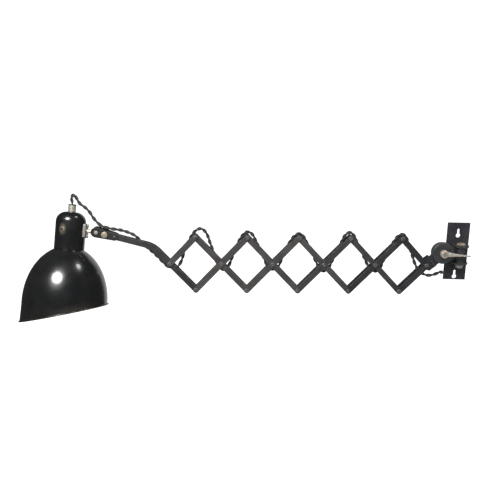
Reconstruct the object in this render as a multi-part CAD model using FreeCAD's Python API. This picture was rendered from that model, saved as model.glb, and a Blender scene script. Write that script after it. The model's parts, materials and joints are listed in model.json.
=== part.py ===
import FreeCAD, Part
import math
import os

# An accordion wall lamp: a steel plate with a hinge, a double-strip scissor arm,
# a ball-jointed bell shade, and a twisted lead woven through the scissor.
#
# Millimetres, +Z up.  The plate's back lies on the wall plane y = 0 and its centre is
# the origin; the room is towards -Y.  The arm is modelled in its own frame, in which
# the hinge pin stands at x = 0, the scissor lies in the plane y = 0 and reaches
# towards -X.  The arm is then swung REST_SWING off the wall about the pin.

# ---- wall plate -----------------------------------------------------------
PLATE_WIDTH = 44.5
PLATE_HEIGHT = 120.0
PLATE_THICK = 2.5
KEYHOLE_SPACING = 87.0
UPPER_KEYHOLE_RISE = 33.5
KEYHOLE_ROUND_R = 4.5
KEYHOLE_SLOT_R = 2.4
KEYHOLE_TRAVEL = 11.5

# ---- hinge on the plate ---------------------------------------------------
PIN_STANDOFF = 26.0
PIN_R = 4.0
LUG_GAP = 31.6
LUG_THICK = 3.0
LUG_R = 15.0
FOOT_HEIGHT = 9.0
PIN_HEAD_R = 7.5
PIN_HEAD_RIM = 2.4
PIN_HEAD_DOME = 5.4
HINGE_NUT_FLATS = 13.0
HINGE_NUT_HEIGHT = 7.0
WASHER_THICK = 1.0
WASHER_R = 8.2
FOOT_RIVET_R = 2.0
FOOT_RIVET_SPREAD = 18.0
BARREL_R = 9.5
REST_SWING = 4.0

# ---- tilt joint -----------------------------------------------------------
TILT_OUT = 37.5
TILT_RISE = 4.0
DISC_R = 21.5
TILT_DISC_THICK = 9.7
SWIVEL_DISC_THICK = 8.2
FRICTION_THICK = 1.4
FRICTION_R = 19.0
DISC_CHAMFER = 1.0
WEB_HEIGHT = 20.0
TILT_BOLT_R = 4.0
TILT_BOLT_HEAD_R = 8.0
TILT_BOLT_HEAD = 3.5
LEVER_HUB_R = 8.0
LEVER_HUB_DEPTH = 10.0
LEVER_LENGTH = 51.5
LEVER_ROOT_R = 4.4
LEVER_TIP_R = 1.6
LEVER_TAPER_END = 38.0
LEVER_DROOP = 3.8
BOLT_PROUD = 1.2

# ---- scissor arm ----------------------------------------------------------
BAR_HALF = 75.0
BAR_WIDTH = 11.5
STRIP = 2.0
INNER_GAP = 8.0
LAYER_GAP = 0.2
REST_ANGLE = 46.6
DIAMONDS = 5
LAST_PIVOT_OUT = 68.5
LAST_PIVOT_DROP = 22.0
RIVET_R = 2.5
RIVET_HEAD_R = 4.6
RIVET_HEAD = 1.7
RIVET_SHOULDER_R = 4.2
SHOULDER_PLAY = 0.1
LOOP_PIVOT_PLAY = 0.25

# ---- neck that carries the last bars on the tilt disc ----------------------
NECK_WIDTH = 24.0
NECK_START = 9.5
NECK_PLAY = 1.4
END_PLATE_REACH = 15.9
END_PLATE_ROOT = -2.0
NECK_RIVETS = ((12.6, -7.0), (12.9, 0.5))
NECK_RELIEF = (2.2, 9.8)

# ---- head arm and ball clamp ----------------------------------------------
HEAD_ARM_RISE = 47.6
HEAD_ARM_BEND = 32.2
HEAD_ARM_BEND_R = 46.0
HEAD_ARM_LENGTH = 115.4
BALL_R = 7.5
BALL_PLAY = 0.25
STRIP_END_CLEAR = 16.0
CHEEK_THICK = 2.2
CHEEK_NOSE_R = 10.0
CHEEK_TAIL_R = 7.0
CHEEK_LENGTH = 37.5
CLAMP_SCREW_BACK = 17.6
CLAMP_SCREW_R = 3.0
CLAMP_HEAD_R = 6.1
CLAMP_HEAD = 3.0
CLAMP_NUT_FLATS = 10.0
CLAMP_NUT = 4.5
SLOT_WIDTH = 1.4
SLOT_DEPTH = 1.3

# ---- lamp head, in its own frame: Z up the housing, +X towards the ball -----
BALL_OUT = 51.6
HEAD_TILT = 3.5
HEAD_ROLL = 14.5
COVER_R = 29.0
COVER_WALL = 0.8
COVER_TOP = 36.0
COVER_CROWN_R = 20.0
COVER_FOOT = -39.0
BRACKET_HEIGHT = 28.0
BRACKET_WIDTH = 22.0
BRACKET_STAND = 3.0
BRACKET_SCREW_SPACING = 21.0
BRACKET_SCREW_HEAD_R = 3.8
BRACKET_SCREW_HEAD = 3.6
BRACKET_SCREW_R = 2.0
STEM_ROOT_R = 5.2
STEM_TIP_R = 3.5
STEM_THREAD_R = 3.0
NIPPLE_R = 7.5
NIPPLE_HEIGHT = 13.0
NIPPLE_THREAD_R = 5.0
NIPPLE_BORE_R = 3.3
COLLAR_R = 7.8
COLLAR_HEIGHT = 2.5
HOLDER_R = 19.5
HOLDER_TOP = 24.0
HOLDER_FOOT = -47.0
SOCKET_R = 13.25
SOCKET_SHELL = 0.6
SOCKET_DEPTH = 30.0
SHELL_SET_BACK = 1.0
CONTACT_R = 4.0
CONTACT_THICK = 2.0
RING_R = 26.0
RING_HEIGHT = 5.0
SWITCH_AZIMUTH = -104.8
SWITCH_BUSH_R = 5.2
SWITCH_BUSH_PROUD = 1.6
SWITCH_BUSH_DEPTH = 5.0
SPINDLE_R = 2.2
SPINDLE_PROUD = 3.2

# ---- shade ------------------------------------------------------------------
SHADE_R = 81.0
SHADE_WALL = 1.0
SHOULDER_R = 29.5
DOME_HEIGHT = 104.6
SKIRT = 20.3
RIM_SLANT = 14.6
RIM_BEAD = 3.0
RIM_BEAD_PROUD = 2.0

# ---- twisted lead -------------------------------------------------------------
LEAD_R = 2.8
LEAD_SHARE = 0.45

# ---- clearances -----------------------------------------------------------------
FIT = 0.02
RUN = 0.06
FACE_PLAY = 0.1

O = FreeCAD.Vector(0, 0, 0)
X = FreeCAD.Vector(1, 0, 0)
Y = FreeCAD.Vector(0, 1, 0)
Z = FreeCAD.Vector(0, 0, 1)

# ---- places worked out from the sizes ------------------------------------------
PIN_Y = -(PLATE_THICK + PIN_STANDOFF)
LUG_INNER = LUG_GAP / 2
LUG_OUTER = LUG_INNER + LUG_THICK
TILT_AXIS = FreeCAD.Vector(-TILT_OUT, 0, TILT_RISE)
LAST_PIVOT = FreeCAD.Vector(-LAST_PIVOT_OUT, 0, -LAST_PIVOT_DROP)

FALL_IN = INNER_GAP / 2
FALL_OUT = FALL_IN + STRIP
RISE_IN = FALL_OUT + LAYER_GAP
RISE_OUT = RISE_IN + STRIP
FRONT_OF_FRICTION = FRICTION_THICK / 2 + FACE_PLAY
TILT_DISC_FRONT = FRONT_OF_FRICTION + TILT_DISC_THICK
SWIVEL_DISC_REAR = FRONT_OF_FRICTION + SWIVEL_DISC_THICK
LEVER_HUB_BACK = TILT_DISC_FRONT + FACE_PLAY
LEVER_HUB_FRONT = LEVER_HUB_BACK + LEVER_HUB_DEPTH
LEVER_LINE = LEVER_HUB_FRONT - 2.6
CHEEK_IN = FALL_OUT + LAYER_GAP
CHEEK_OUT = CHEEK_IN + CHEEK_THICK

DOME_SPRING = COVER_FOOT - DOME_HEIGHT
RIM_DROP = DOME_SPRING - SKIRT

REST = math.radians(REST_ANGLE)
PITCH = 2 * BAR_HALF * math.cos(REST)
PIVOT_RISE = BAR_HALF * math.sin(REST)
RISING = FreeCAD.Vector(math.cos(REST), 0, math.sin(REST))
FALLING = FreeCAD.Vector(-math.cos(REST), 0, math.sin(REST))
MID = [LAST_PIVOT + X * (-PITCH * (DIAMONDS - i)) for i in range(DIAMONDS + 1)]
TOP = [MID[i] + RISING * BAR_HALF for i in range(DIAMONDS)]
LOW = [MID[i + 1] - RISING * BAR_HALF for i in range(DIAMONDS)]

ARM_LINE = math.radians(REST_ANGLE - HEAD_ARM_BEND)
ALONG_ARM = FreeCAD.Vector(-math.cos(ARM_LINE), 0, math.sin(ARM_LINE))
ARM_CORNER = MID[0] + FALLING * HEAD_ARM_RISE
BALL = ARM_CORNER + ALONG_ARM * HEAD_ARM_LENGTH

NECK_ALONG = (TILT_AXIS - LAST_PIVOT).normalize()
NECK_ACROSS = Y.cross(NECK_ALONG) * -1


# ---- shape helpers ----------------------------------------------------------------
def at(x, z, y=0.0):
    """A point in the arm's plane, or y in front of or behind it."""
    return FreeCAD.Vector(x, y, z)


def outline(steps):
    """A closed wire: each step is a point, or a pair (point on the arc, its end)."""
    edges = []
    last = steps[-1]
    here = last[1] if isinstance(last, tuple) else last
    for step in steps:
        if isinstance(step, tuple):
            edges.append(Part.Arc(here, step[0], step[1]).toShape())
            here = step[1]
        elif not here.isEqual(step, 1e-7):
            edges.append(Part.LineSegment(here, step).toShape())
            here = step
    return Part.Wire(edges)


def plate_of(steps, y_low, y_high):
    """A flat piece from an outline in the XZ plane, from y_low to y_high."""
    face = Part.Face(outline(steps))
    face.translate(Y * y_low)
    return face.extrude(Y * (y_high - y_low))


def turned(steps):
    """A turned piece about Z from its half outline in the XZ plane."""
    return Part.Face(outline(steps)).revolve(O, Z, 360)


def box(x_span, y_span, z_span):
    size = [high - low for low, high in (x_span, y_span, z_span)]
    return Part.makeBox(*size, FreeCAD.Vector(x_span[0], y_span[0], z_span[0]))


def rod(radius, start, end):
    """A round bar from one point to another."""
    return Part.makeCylinder(radius, (end - start).Length, start, end - start)


def pin_at(radius, place, y_low, y_high):
    """A round bar along Y through a place in the arm's plane."""
    return rod(radius, place + Y * y_low, place + Y * y_high)


def domed(radius, height, rim=0.0):
    """A round head standing on z = 0: a straight rim, then a low dome."""
    ball = (radius ** 2 + height ** 2) / (2 * height)
    half = math.asin(radius / ball) / 2
    mid = FreeCAD.Vector(ball * math.sin(half), 0, rim + height - ball + ball * math.cos(half))
    top = FreeCAD.Vector(0, 0, rim + height)
    steps = [O, FreeCAD.Vector(radius, 0, 0)]
    if rim > 0:
        steps.append(FreeCAD.Vector(radius, 0, rim))
    steps.append((mid, top))
    return turned(steps)


def stood(shape, base, direction):
    """Turn a shape's +Z to a direction and set its origin on a base point."""
    moved = shape.copy()
    moved.Placement = FreeCAD.Placement(base, FreeCAD.Rotation(Z, direction))
    return moved


def hexagon(flats, height):
    """A hexagonal nut blank standing on z = 0."""
    corner = flats / 2 / math.cos(math.radians(30))
    points = [
        FreeCAD.Vector(corner * math.cos(math.radians(a)), corner * math.sin(math.radians(a)), 0)
        for a in range(0, 360, 60)
    ]
    blank = Part.Face(outline(points)).extrude(Z * height)
    crown = turned(
        [
            O,
            FreeCAD.Vector(corner * 0.93, 0, 0),
            FreeCAD.Vector(corner * 1.01, 0, height * 0.15),
            FreeCAD.Vector(corner * 1.01, 0, height * 0.85),
            FreeCAD.Vector(corner * 0.93, 0, height),
            FreeCAD.Vector(0, 0, height),
        ]
    )
    return blank.common(crown)


def stadium(a, b, radius):
    """The outline steps of a strip with round ends centred on a and b."""
    along = (b - a).normalize()
    side = along.cross(Y)
    return [
        a + side * radius,
        b + side * radius,
        (b + along * radius, b - side * radius),
        a - side * radius,
        (a - along * radius, a + side * radius),
    ]


def pear(a, a_radius, b, b_radius):
    """The outline steps of two circles joined by their common tangents."""
    along = (b - a).normalize()
    side = along.cross(Y)
    lean = (a_radius - b_radius) / (b - a).Length
    level = math.sqrt(1 - lean ** 2)
    left = along * lean + side * level
    right = along * lean - side * level
    return [
        a + left * a_radius,
        b + left * b_radius,
        (b + along * b_radius, b + right * b_radius),
        a + right * a_radius,
        (a - along * a_radius, a + left * a_radius),
    ]


def both_sides(steps, inner, outer):
    """A front and a rear strip of one outline, either side of the arm's plane."""
    return [plate_of(steps, -outer, -inner), plate_of(steps, inner, outer)]


def drilled(shapes, holes):
    """Cut round holes along Y: each hole is (place, radius)."""
    reach = LEVER_HUB_FRONT + BALL_R
    tools = [pin_at(radius, place, -reach, reach) for place, radius in holes]
    return [shape.cut(tools) for shape in shapes]


def slotted(shape, top, direction, across):
    """Cut a screwdriver slot into a head whose top point faces a direction."""
    tool = Part.makeBox(40, SLOT_WIDTH, 2 * SLOT_DEPTH, FreeCAD.Vector(-20, -SLOT_WIDTH / 2, -SLOT_DEPTH))
    turn = FreeCAD.Rotation(across, across.cross(direction) * -1, direction, "ZXY")
    tool.Placement = FreeCAD.Placement(top, turn)
    return shape.cut(tool)


# ---- frames ----------------------------------------------------------------------
def on_wall(shape):
    """From the arm's frame to the lamp's: swing about the pin, then stand it off."""
    placed = shape.copy()
    placed.rotate(O, Z, REST_SWING)
    placed.translate(Y * PIN_Y)
    return placed


def on_arm(shape):
    """From the head's frame to the arm's: roll about the stem, tilt at the ball."""
    placed = shape.copy()
    placed.translate(X * -BALL_OUT)
    placed.rotate(O, X, -HEAD_ROLL)
    placed.rotate(O, Y, HEAD_TILT)
    placed.translate(BALL)
    return placed


def write(name, shapes, *moves):
    """Move the solids of one node into the lamp's frame and write its STEP file."""
    parts = shapes if isinstance(shapes, list) else [shapes]
    for move in moves:
        parts = [move(part) for part in parts]
    shape = parts[0] if len(parts) == 1 else Part.makeCompound(parts)
    shape.exportStep(os.path.join("parts", name + ".step"))
    print(name, "solids", len(shape.Solids), "volume %.1f" % shape.Volume, "valid", shape.isValid())


# ---- wall plate and hinge -----------------------------------------------------------
def keyhole(rise):
    """A round hole for the screw's head with a slot above it for its shank."""
    centre = at(0, rise)
    reach = PLATE_THICK * 2
    head_hole = pin_at(KEYHOLE_ROUND_R, centre, -reach, reach)
    slot = plate_of(stadium(centre, centre + Z * KEYHOLE_TRAVEL, KEYHOLE_SLOT_R), -reach, reach)
    return head_hole.fuse(slot)


def foot_rivet_places():
    """The four rivets that hold the two lugs' feet, two to a foot."""
    level = LUG_INNER - FOOT_HEIGHT / 2
    half = FOOT_RIVET_SPREAD / 2
    return [at(side * half, end * level) for end in (1, -1) for side in (1, -1)]


def wall_plate():
    plate = box(
        (-PLATE_WIDTH / 2, PLATE_WIDTH / 2), (-PLATE_THICK, 0), (-PLATE_HEIGHT / 2, PLATE_HEIGHT / 2)
    )
    holes = [keyhole(UPPER_KEYHOLE_RISE), keyhole(UPPER_KEYHOLE_RISE - KEYHOLE_SPACING)]
    plate = plate.cut(holes)
    return drilled([plate], [(place, FOOT_RIVET_R + FIT) for place in foot_rivet_places()])[0]


def hinge_lug(end):
    """A rounded lug with a foot turned in against the plate; end is +1 up, -1 down."""
    z_low, z_high = sorted((end * LUG_INNER, end * LUG_OUTER))
    front = -PLATE_THICK
    tongue = box((-LUG_R, LUG_R), (PIN_Y, front), (z_low, z_high))
    nose = rod(LUG_R, FreeCAD.Vector(0, PIN_Y, z_low), FreeCAD.Vector(0, PIN_Y, z_high))
    foot_span = sorted((end * (LUG_INNER - FOOT_HEIGHT), end * LUG_OUTER))
    foot = box((-LUG_R, LUG_R), (front - LUG_THICK, front), foot_span)
    bore = rod(PIN_R + FIT, FreeCAD.Vector(0, PIN_Y, z_low - 1), FreeCAD.Vector(0, PIN_Y, z_high + 1))
    lug = tongue.fuse([nose, foot]).cut(bore).removeSplitter()
    return drilled([lug], [(place, FOOT_RIVET_R + FIT) for place in foot_rivet_places()])[0]


def foot_rivets():
    """Rivets through foot and plate, domed in front and flush with the plate's back."""
    rivets = []
    front = -(PLATE_THICK + LUG_THICK)
    for place in foot_rivet_places():
        shank = pin_at(FOOT_RIVET_R, place, front, 0)
        head = stood(domed(FOOT_RIVET_R * 1.75, FOOT_RIVET_R * 0.8), place + Y * front, Y * -1)
        rivets.append(shank.fuse(head))
    return rivets


def hinge_pin():
    """The vertical pin: a domed head on the upper lug, its end just past the nut."""
    foot = -(LUG_OUTER + WASHER_THICK + HINGE_NUT_HEIGHT + 1.5)
    shank = rod(PIN_R, Z * foot, Z * LUG_OUTER)
    head = stood(domed(PIN_HEAD_R, PIN_HEAD_DOME, PIN_HEAD_RIM), Z * LUG_OUTER, Z)
    pin = shank.fuse(head)
    pin.translate(Y * PIN_Y)
    return pin


def hinge_nut():
    nut = hexagon(HINGE_NUT_FLATS, HINGE_NUT_HEIGHT)
    nut = nut.cut(rod(PIN_R + FIT, Z * -1, Z * (HINGE_NUT_HEIGHT + 1)))
    nut.translate(FreeCAD.Vector(0, PIN_Y, -(LUG_OUTER + WASHER_THICK + HINGE_NUT_HEIGHT)))
    return nut


def washer(z_low, outer, bore):
    ring = rod(outer, Z * z_low, Z * (z_low + WASHER_THICK))
    ring = ring.cut(rod(bore, Z * (z_low - 1), Z * (z_low + WASHER_THICK + 1)))
    ring.translate(Y * PIN_Y)
    return ring


def hinge_washers():
    """One under the nut and one at each end of the barrel."""
    levels = [-(LUG_OUTER + WASHER_THICK), -LUG_INNER, LUG_INNER - WASHER_THICK]
    return [washer(level, WASHER_R, PIN_R + FIT) for level in levels]


def swivel_block():
    """A barrel on the pin with a side disc that the tilt joint clamps against."""
    half = LUG_INNER - WASHER_THICK - FACE_PLAY
    barrel = rod(BARREL_R, Z * -half, Z * half)
    disc = pin_at(DISC_R, TILT_AXIS, FRONT_OF_FRICTION, SWIVEL_DISC_REAR)
    web_low = TILT_RISE / 2 - WEB_HEIGHT / 2
    web = box((-TILT_OUT, 0), (FRONT_OF_FRICTION, SWIVEL_DISC_REAR), (web_low, web_low + WEB_HEIGHT))
    block = barrel.fuse([disc, web]).removeSplitter()
    bore = rod(PIN_R + RUN, Z * -LUG_GAP, Z * LUG_GAP)
    return drilled([block.cut(bore)], [(TILT_AXIS, TILT_BOLT_R + FIT)])[0]


# ---- tilt joint -----------------------------------------------------------------------
def friction_washer():
    disc = pin_at(FRICTION_R, TILT_AXIS, -FRICTION_THICK / 2, FRONT_OF_FRICTION)
    return drilled([disc], [(TILT_AXIS, TILT_BOLT_R + FIT)])[0]


def tilt_bolt():
    """Through both discs and the lever's hub, slotted where it shows in front."""
    front = -(LEVER_HUB_FRONT + BOLT_PROUD)
    shank = pin_at(TILT_BOLT_R, TILT_AXIS, front, SWIVEL_DISC_REAR)
    head = stood(domed(TILT_BOLT_HEAD_R, TILT_BOLT_HEAD), TILT_AXIS + Y * SWIVEL_DISC_REAR, Y)
    return slotted(shank.fuse(head), TILT_AXIS + Y * front, Y * -1, X)


def neck_point(along, across, y=0.0):
    """A point on the neck: from the last pivot towards the tilt axis, and across."""
    return LAST_PIVOT + NECK_ALONG * along + NECK_ACROSS * across + Y * y


def tilt_knuckle():
    """The front disc, and a neck that steps back to the arm's plane beyond its edge."""
    half = NECK_WIDTH / 2
    reach = (TILT_AXIS - LAST_PIVOT).Length
    disc = pin_at(DISC_R, TILT_AXIS, -TILT_DISC_FRONT, -FRONT_OF_FRICTION)
    disc = disc.makeChamfer(DISC_CHAMFER, [disc.Edges[i] for i in front_edges(disc, -TILT_DISC_FRONT)])
    relief, shoulder = NECK_RELIEF
    rear_end = reach - DISC_R - NECK_PLAY
    front_half = [
        neck_point(NECK_START, -half),
        neck_point(reach, -half),
        neck_point(reach, half),
        neck_point(rear_end + NECK_PLAY, half),
        neck_point(rear_end, shoulder),
        neck_point(NECK_START, relief),
    ]
    rear_half = [
        neck_point(NECK_START, -half),
        neck_point(rear_end, -half),
        neck_point(rear_end, shoulder),
        neck_point(NECK_START, relief),
    ]
    front = plate_of(front_half, -RISE_IN, -FRONT_OF_FRICTION)
    rear = plate_of(rear_half, -FRONT_OF_FRICTION, RISE_IN)
    knuckle = disc.fuse([front, rear]).removeSplitter()
    holes = [(TILT_AXIS, TILT_BOLT_R + RUN)]
    holes += [(neck_point(*place), RIVET_R + FIT) for place in NECK_RIVETS]
    return drilled([knuckle], holes)[0]


def front_edges(shape, level):
    """The numbers of a shape's edges that lie wholly at one y level."""
    return [
        i
        for i, edge in enumerate(shape.Edges)
        if abs(edge.BoundBox.YMin - level) < 1e-6 and abs(edge.BoundBox.YMax - level) < 1e-6
    ]


def clamp_lever():
    """A nickelled lever: a round hub and a tapered arm that ends in a thin tip."""
    hub = pin_at(LEVER_HUB_R, TILT_AXIS, -LEVER_HUB_FRONT, -LEVER_HUB_BACK)
    hub = hub.makeFillet(1.6, [hub.Edges[i] for i in front_edges(hub, -LEVER_HUB_FRONT)])
    droop = math.radians(LEVER_DROOP)
    along = FreeCAD.Vector(math.cos(droop), 0, -math.sin(droop))
    root = TILT_AXIS - Y * LEVER_LINE
    taper = Part.makeCone(LEVER_ROOT_R, LEVER_TIP_R, LEVER_TAPER_END, root, along)
    tip = rod(LEVER_TIP_R, root + along * LEVER_TAPER_END, root + along * (LEVER_LENGTH - LEVER_TIP_R))
    end = Part.makeSphere(LEVER_TIP_R, root + along * (LEVER_LENGTH - LEVER_TIP_R))
    lever = hub.fuse([taper, tip, end])
    behind = pin_at(DISC_R * 4, TILT_AXIS, -LEVER_HUB_BACK, 0)
    return drilled([lever.cut(behind)], [(TILT_AXIS, TILT_BOLT_R + RUN)])[0]


# ---- scissor arm ------------------------------------------------------------------------
def rising_bars(i):
    """The outer pair that rises to the right through middle pivot i."""
    low = LOW[i - 1] if i > 0 else MID[0]
    high = TOP[i] if i < DIAMONDS else LAST_PIVOT
    strips = both_sides(stadium(low, high, BAR_WIDTH / 2), RISE_IN, RISE_OUT)
    holes = [(place, RIVET_R + FIT) for place in rising_pivots(i)]
    if i == DIAMONDS:
        ends = both_sides(end_plate_outline(), RISE_IN, RISE_OUT)
        strips = [strip.fuse(end).removeSplitter() for strip, end in zip(strips, ends)]
        holes += [(neck_point(*place), RIVET_R + FIT) for place in NECK_RIVETS]
    return drilled(strips, holes)


def rising_pivots(i):
    """Every pivot that rising pair i holds the rivet of."""
    pivots = [MID[i]]
    if i > 0:
        pivots.append(LOW[i - 1])
    if i < DIAMONDS:
        pivots.append(TOP[i])
    return pivots


def end_plate_outline():
    """The widened end of the last rising bars, which is riveted to the neck."""
    half = NECK_WIDTH / 2
    back = -BAR_WIDTH / 2
    return [
        neck_point(END_PLATE_ROOT, -half),
        neck_point(END_PLATE_REACH, -half),
        neck_point(END_PLATE_REACH, half),
        neck_point(END_PLATE_ROOT + 6, half),
        neck_point(back, half / 2),
        neck_point(back, -half / 2),
    ]


def falling_bars(i):
    """The inner pair that falls to the right through middle pivot i."""
    high = TOP[i - 1]
    low = LOW[i] if i < DIAMONDS else LAST_PIVOT
    strips = both_sides(stadium(high, low, BAR_WIDTH / 2), FALL_IN, FALL_OUT)
    holes = [(high, RIVET_R + RUN), (MID[i], RIVET_R + RUN)]
    if i < DIAMONDS:
        holes.append((low, RIVET_R + LOOP_PIVOT_PLAY))
    return drilled(strips, holes)


def head_arm():
    """The first falling pair, bent beyond its middle pivot and run on to the ball clamp."""
    half = BAR_WIDTH / 2
    set_back = HEAD_ARM_BEND_R * math.tan(math.radians(HEAD_ARM_BEND) / 2)
    bend_in = ARM_CORNER - FALLING * set_back
    bend_out = ARM_CORNER + ALONG_ARM * set_back
    end = BALL - ALONG_ARM * STRIP_END_CLEAR
    first_side = FALLING.cross(Y)
    last_side = ALONG_ARM.cross(Y)
    centre = bend_in - first_side * HEAD_ARM_BEND_R
    if (centre - ARM_CORNER).Length < (bend_in + first_side * HEAD_ARM_BEND_R - ARM_CORNER).Length:
        centre = bend_in + first_side * HEAD_ARM_BEND_R
    mid_side = (first_side + last_side).normalize()
    to_bend = (ARM_CORNER - centre).normalize()
    sign = 1 if to_bend.dot(mid_side) > 0 else -1
    outer_mid = centre + to_bend * (HEAD_ARM_BEND_R + sign * half)
    inner_mid = centre + to_bend * (HEAD_ARM_BEND_R - sign * half)
    steps = [
        LOW[0] + first_side * half,
        bend_in + first_side * half,
        (outer_mid, bend_out + last_side * half),
        end + last_side * half,
        (end + ALONG_ARM * half, end - last_side * half),
        bend_out - last_side * half,
        (inner_mid, bend_in - first_side * half),
        LOW[0] - first_side * half,
        (LOW[0] - FALLING * half, LOW[0] + first_side * half),
    ]
    holes = [(MID[0], RIVET_R + RUN), (LOW[0], RIVET_R + LOOP_PIVOT_PLAY)]
    holes += [(clamp_screw_place(), CLAMP_SCREW_R + FIT), (cheek_rivet_place(), RIVET_R + FIT)]
    return drilled(both_sides(steps, FALL_IN, FALL_OUT), holes)


def pivot_rivet(place):
    """A shouldered rivet: the shoulder keeps the two inner strips apart."""
    shank = pin_at(RIVET_R, place, -RISE_OUT, RISE_OUT)
    shoulder = pin_at(RIVET_SHOULDER_R, place, -FALL_IN + SHOULDER_PLAY, FALL_IN - SHOULDER_PLAY)
    heads = [
        stood(domed(RIVET_HEAD_R, RIVET_HEAD), place + Y * (side * RISE_OUT), Y * side) for side in (-1, 1)
    ]
    return shank.fuse([shoulder] + heads)


def neck_rivet(place):
    shank = pin_at(RIVET_R, place, -RISE_OUT, RISE_OUT)
    heads = [
        stood(domed(RIVET_HEAD_R * 0.8, RIVET_HEAD * 0.7), place + Y * (side * RISE_OUT), Y * side)
        for side in (-1, 1)
    ]
    return shank.fuse(heads)


def pivot_rivets(i):
    rivets = [pivot_rivet(place) for place in rising_pivots(i)]
    if i == DIAMONDS:
        rivets += [neck_rivet(neck_point(*place)) for place in NECK_RIVETS]
    return rivets


# ---- ball clamp -----------------------------------------------------------------------
def clamp_screw_place():
    return BALL - ALONG_ARM * CLAMP_SCREW_BACK


def cheek_rivet_place():
    return BALL - ALONG_ARM * CHEEK_LENGTH


def clamp_cheeks():
    """Two cheeks whose seat holes grip the ball from both sides."""
    cheeks = both_sides(pear(BALL, CHEEK_NOSE_R, cheek_rivet_place(), CHEEK_TAIL_R), CHEEK_IN, CHEEK_OUT)
    seat = math.sqrt(BALL_R ** 2 - CHEEK_IN ** 2) + BALL_PLAY
    holes = [
        (BALL, seat),
        (clamp_screw_place(), CLAMP_SCREW_R + FIT),
        (cheek_rivet_place(), RIVET_R + FIT),
    ]
    return drilled(cheeks, holes)


def clamp_screw():
    place = clamp_screw_place()
    end = CHEEK_OUT + CLAMP_NUT + 1.0
    shank = pin_at(CLAMP_SCREW_R, place, -CHEEK_OUT, end)
    head = stood(domed(CLAMP_HEAD_R, 1.0, CLAMP_HEAD - 1.0), place - Y * CHEEK_OUT, Y * -1)
    slot_line = FreeCAD.Vector(math.cos(ARM_LINE), 0, -math.sin(ARM_LINE))
    return slotted(shank.fuse(head), place - Y * (CHEEK_OUT + CLAMP_HEAD), Y * -1, slot_line)


def clamp_nut():
    nut = hexagon(CLAMP_NUT_FLATS, CLAMP_NUT)
    nut = nut.cut(rod(CLAMP_SCREW_R + FIT, Z * -1, Z * (CLAMP_NUT + 1)))
    return stood(nut, clamp_screw_place() + Y * CHEEK_OUT, Y)


def cheek_rivet():
    place = cheek_rivet_place()
    shank = pin_at(RIVET_R, place, -CHEEK_OUT, CHEEK_OUT)
    shoulder = pin_at(RIVET_SHOULDER_R, place, -FALL_IN, FALL_IN)
    heads = [
        stood(domed(RIVET_HEAD_R * 0.8, RIVET_HEAD * 0.7), place + Y * (side * CHEEK_OUT), Y * side)
        for side in (-1, 1)
    ]
    return shank.fuse([shoulder] + heads)


# ---- lamp head --------------------------------------------------------------------------
def ball_stem():
    """The ball on its tapered stem, with a threaded tail through the bracket."""
    face = COVER_R + BRACKET_STAND
    ball_centre = X * BALL_OUT
    stem = Part.makeCone(STEM_ROOT_R, STEM_TIP_R, BALL_OUT - face - BALL_R / 2, X * face, X)
    tail = rod(STEM_THREAD_R, X * COVER_R, X * face)
    return Part.makeSphere(BALL_R, ball_centre).fuse([stem, tail])


def bracket_screw_places():
    half = BRACKET_SCREW_SPACING / 2
    return [Z * half, Z * -half]


def stem_bracket():
    """A flat-faced pad hollowed behind to sit on the round housing."""
    face = COVER_R + BRACKET_STAND
    root = math.sqrt(COVER_R ** 2 - (BRACKET_WIDTH / 2) ** 2)
    half = BRACKET_HEIGHT / 2
    pad = box((root - 0.5, face), (-BRACKET_WIDTH / 2, BRACKET_WIDTH / 2), (-half, half))
    upright = [edge for edge in pad.Edges if edge.BoundBox.XLength > 1]
    pad = pad.makeFillet(3.0, upright)
    pad = pad.cut(rod(COVER_R, Z * -BRACKET_HEIGHT, Z * BRACKET_HEIGHT))
    pad = pad.cut(rod(STEM_THREAD_R + FIT, O, X * BALL_OUT))
    return pad.cut([rod(BRACKET_SCREW_R + FIT, p, p + X * BALL_OUT) for p in bracket_screw_places()])


def bracket_screws():
    face = COVER_R + BRACKET_STAND
    screws = []
    for place in bracket_screw_places():
        shank = rod(BRACKET_SCREW_R, place + X * (COVER_R - COVER_WALL - 1.5), place + X * face)
        head = stood(domed(BRACKET_SCREW_HEAD_R, BRACKET_SCREW_HEAD - 1, 1.0), place + X * face, X)
        screws.append(shank.fuse(head))
    return screws


def switch_line():
    turn = math.radians(SWITCH_AZIMUTH)
    return FreeCAD.Vector(math.cos(turn), math.sin(turn), 0)


def housing_cover():
    """The bell-topped cover over the lampholder, open below, with its drilled holes."""
    def skin(radius, top, crown):
        centre_r = COVER_R - COVER_CROWN_R
        spring = COVER_TOP - COVER_CROWN_R
        slant = math.radians(45)
        return [
            at(0, COVER_FOOT),
            at(radius, COVER_FOOT),
            at(radius, spring),
            (at(centre_r + crown * math.cos(slant), spring + crown * math.sin(slant)), at(centre_r, top)),
            at(0, top),
        ]

    outer = turned(skin(COVER_R, COVER_TOP, COVER_CROWN_R))
    inner = turned(skin(COVER_R - COVER_WALL, COVER_TOP - COVER_WALL, COVER_CROWN_R - COVER_WALL))
    holes = [rod(NIPPLE_THREAD_R + FIT, O, Z * (COVER_TOP + 1))]
    holes += [rod(BRACKET_SCREW_R + FIT, p, p + X * BALL_OUT) for p in bracket_screw_places()]
    holes.append(rod(SWITCH_BUSH_R - 1.2 + FIT, O, switch_line() * BALL_OUT))
    return outer.cut([inner] + holes)


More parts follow.
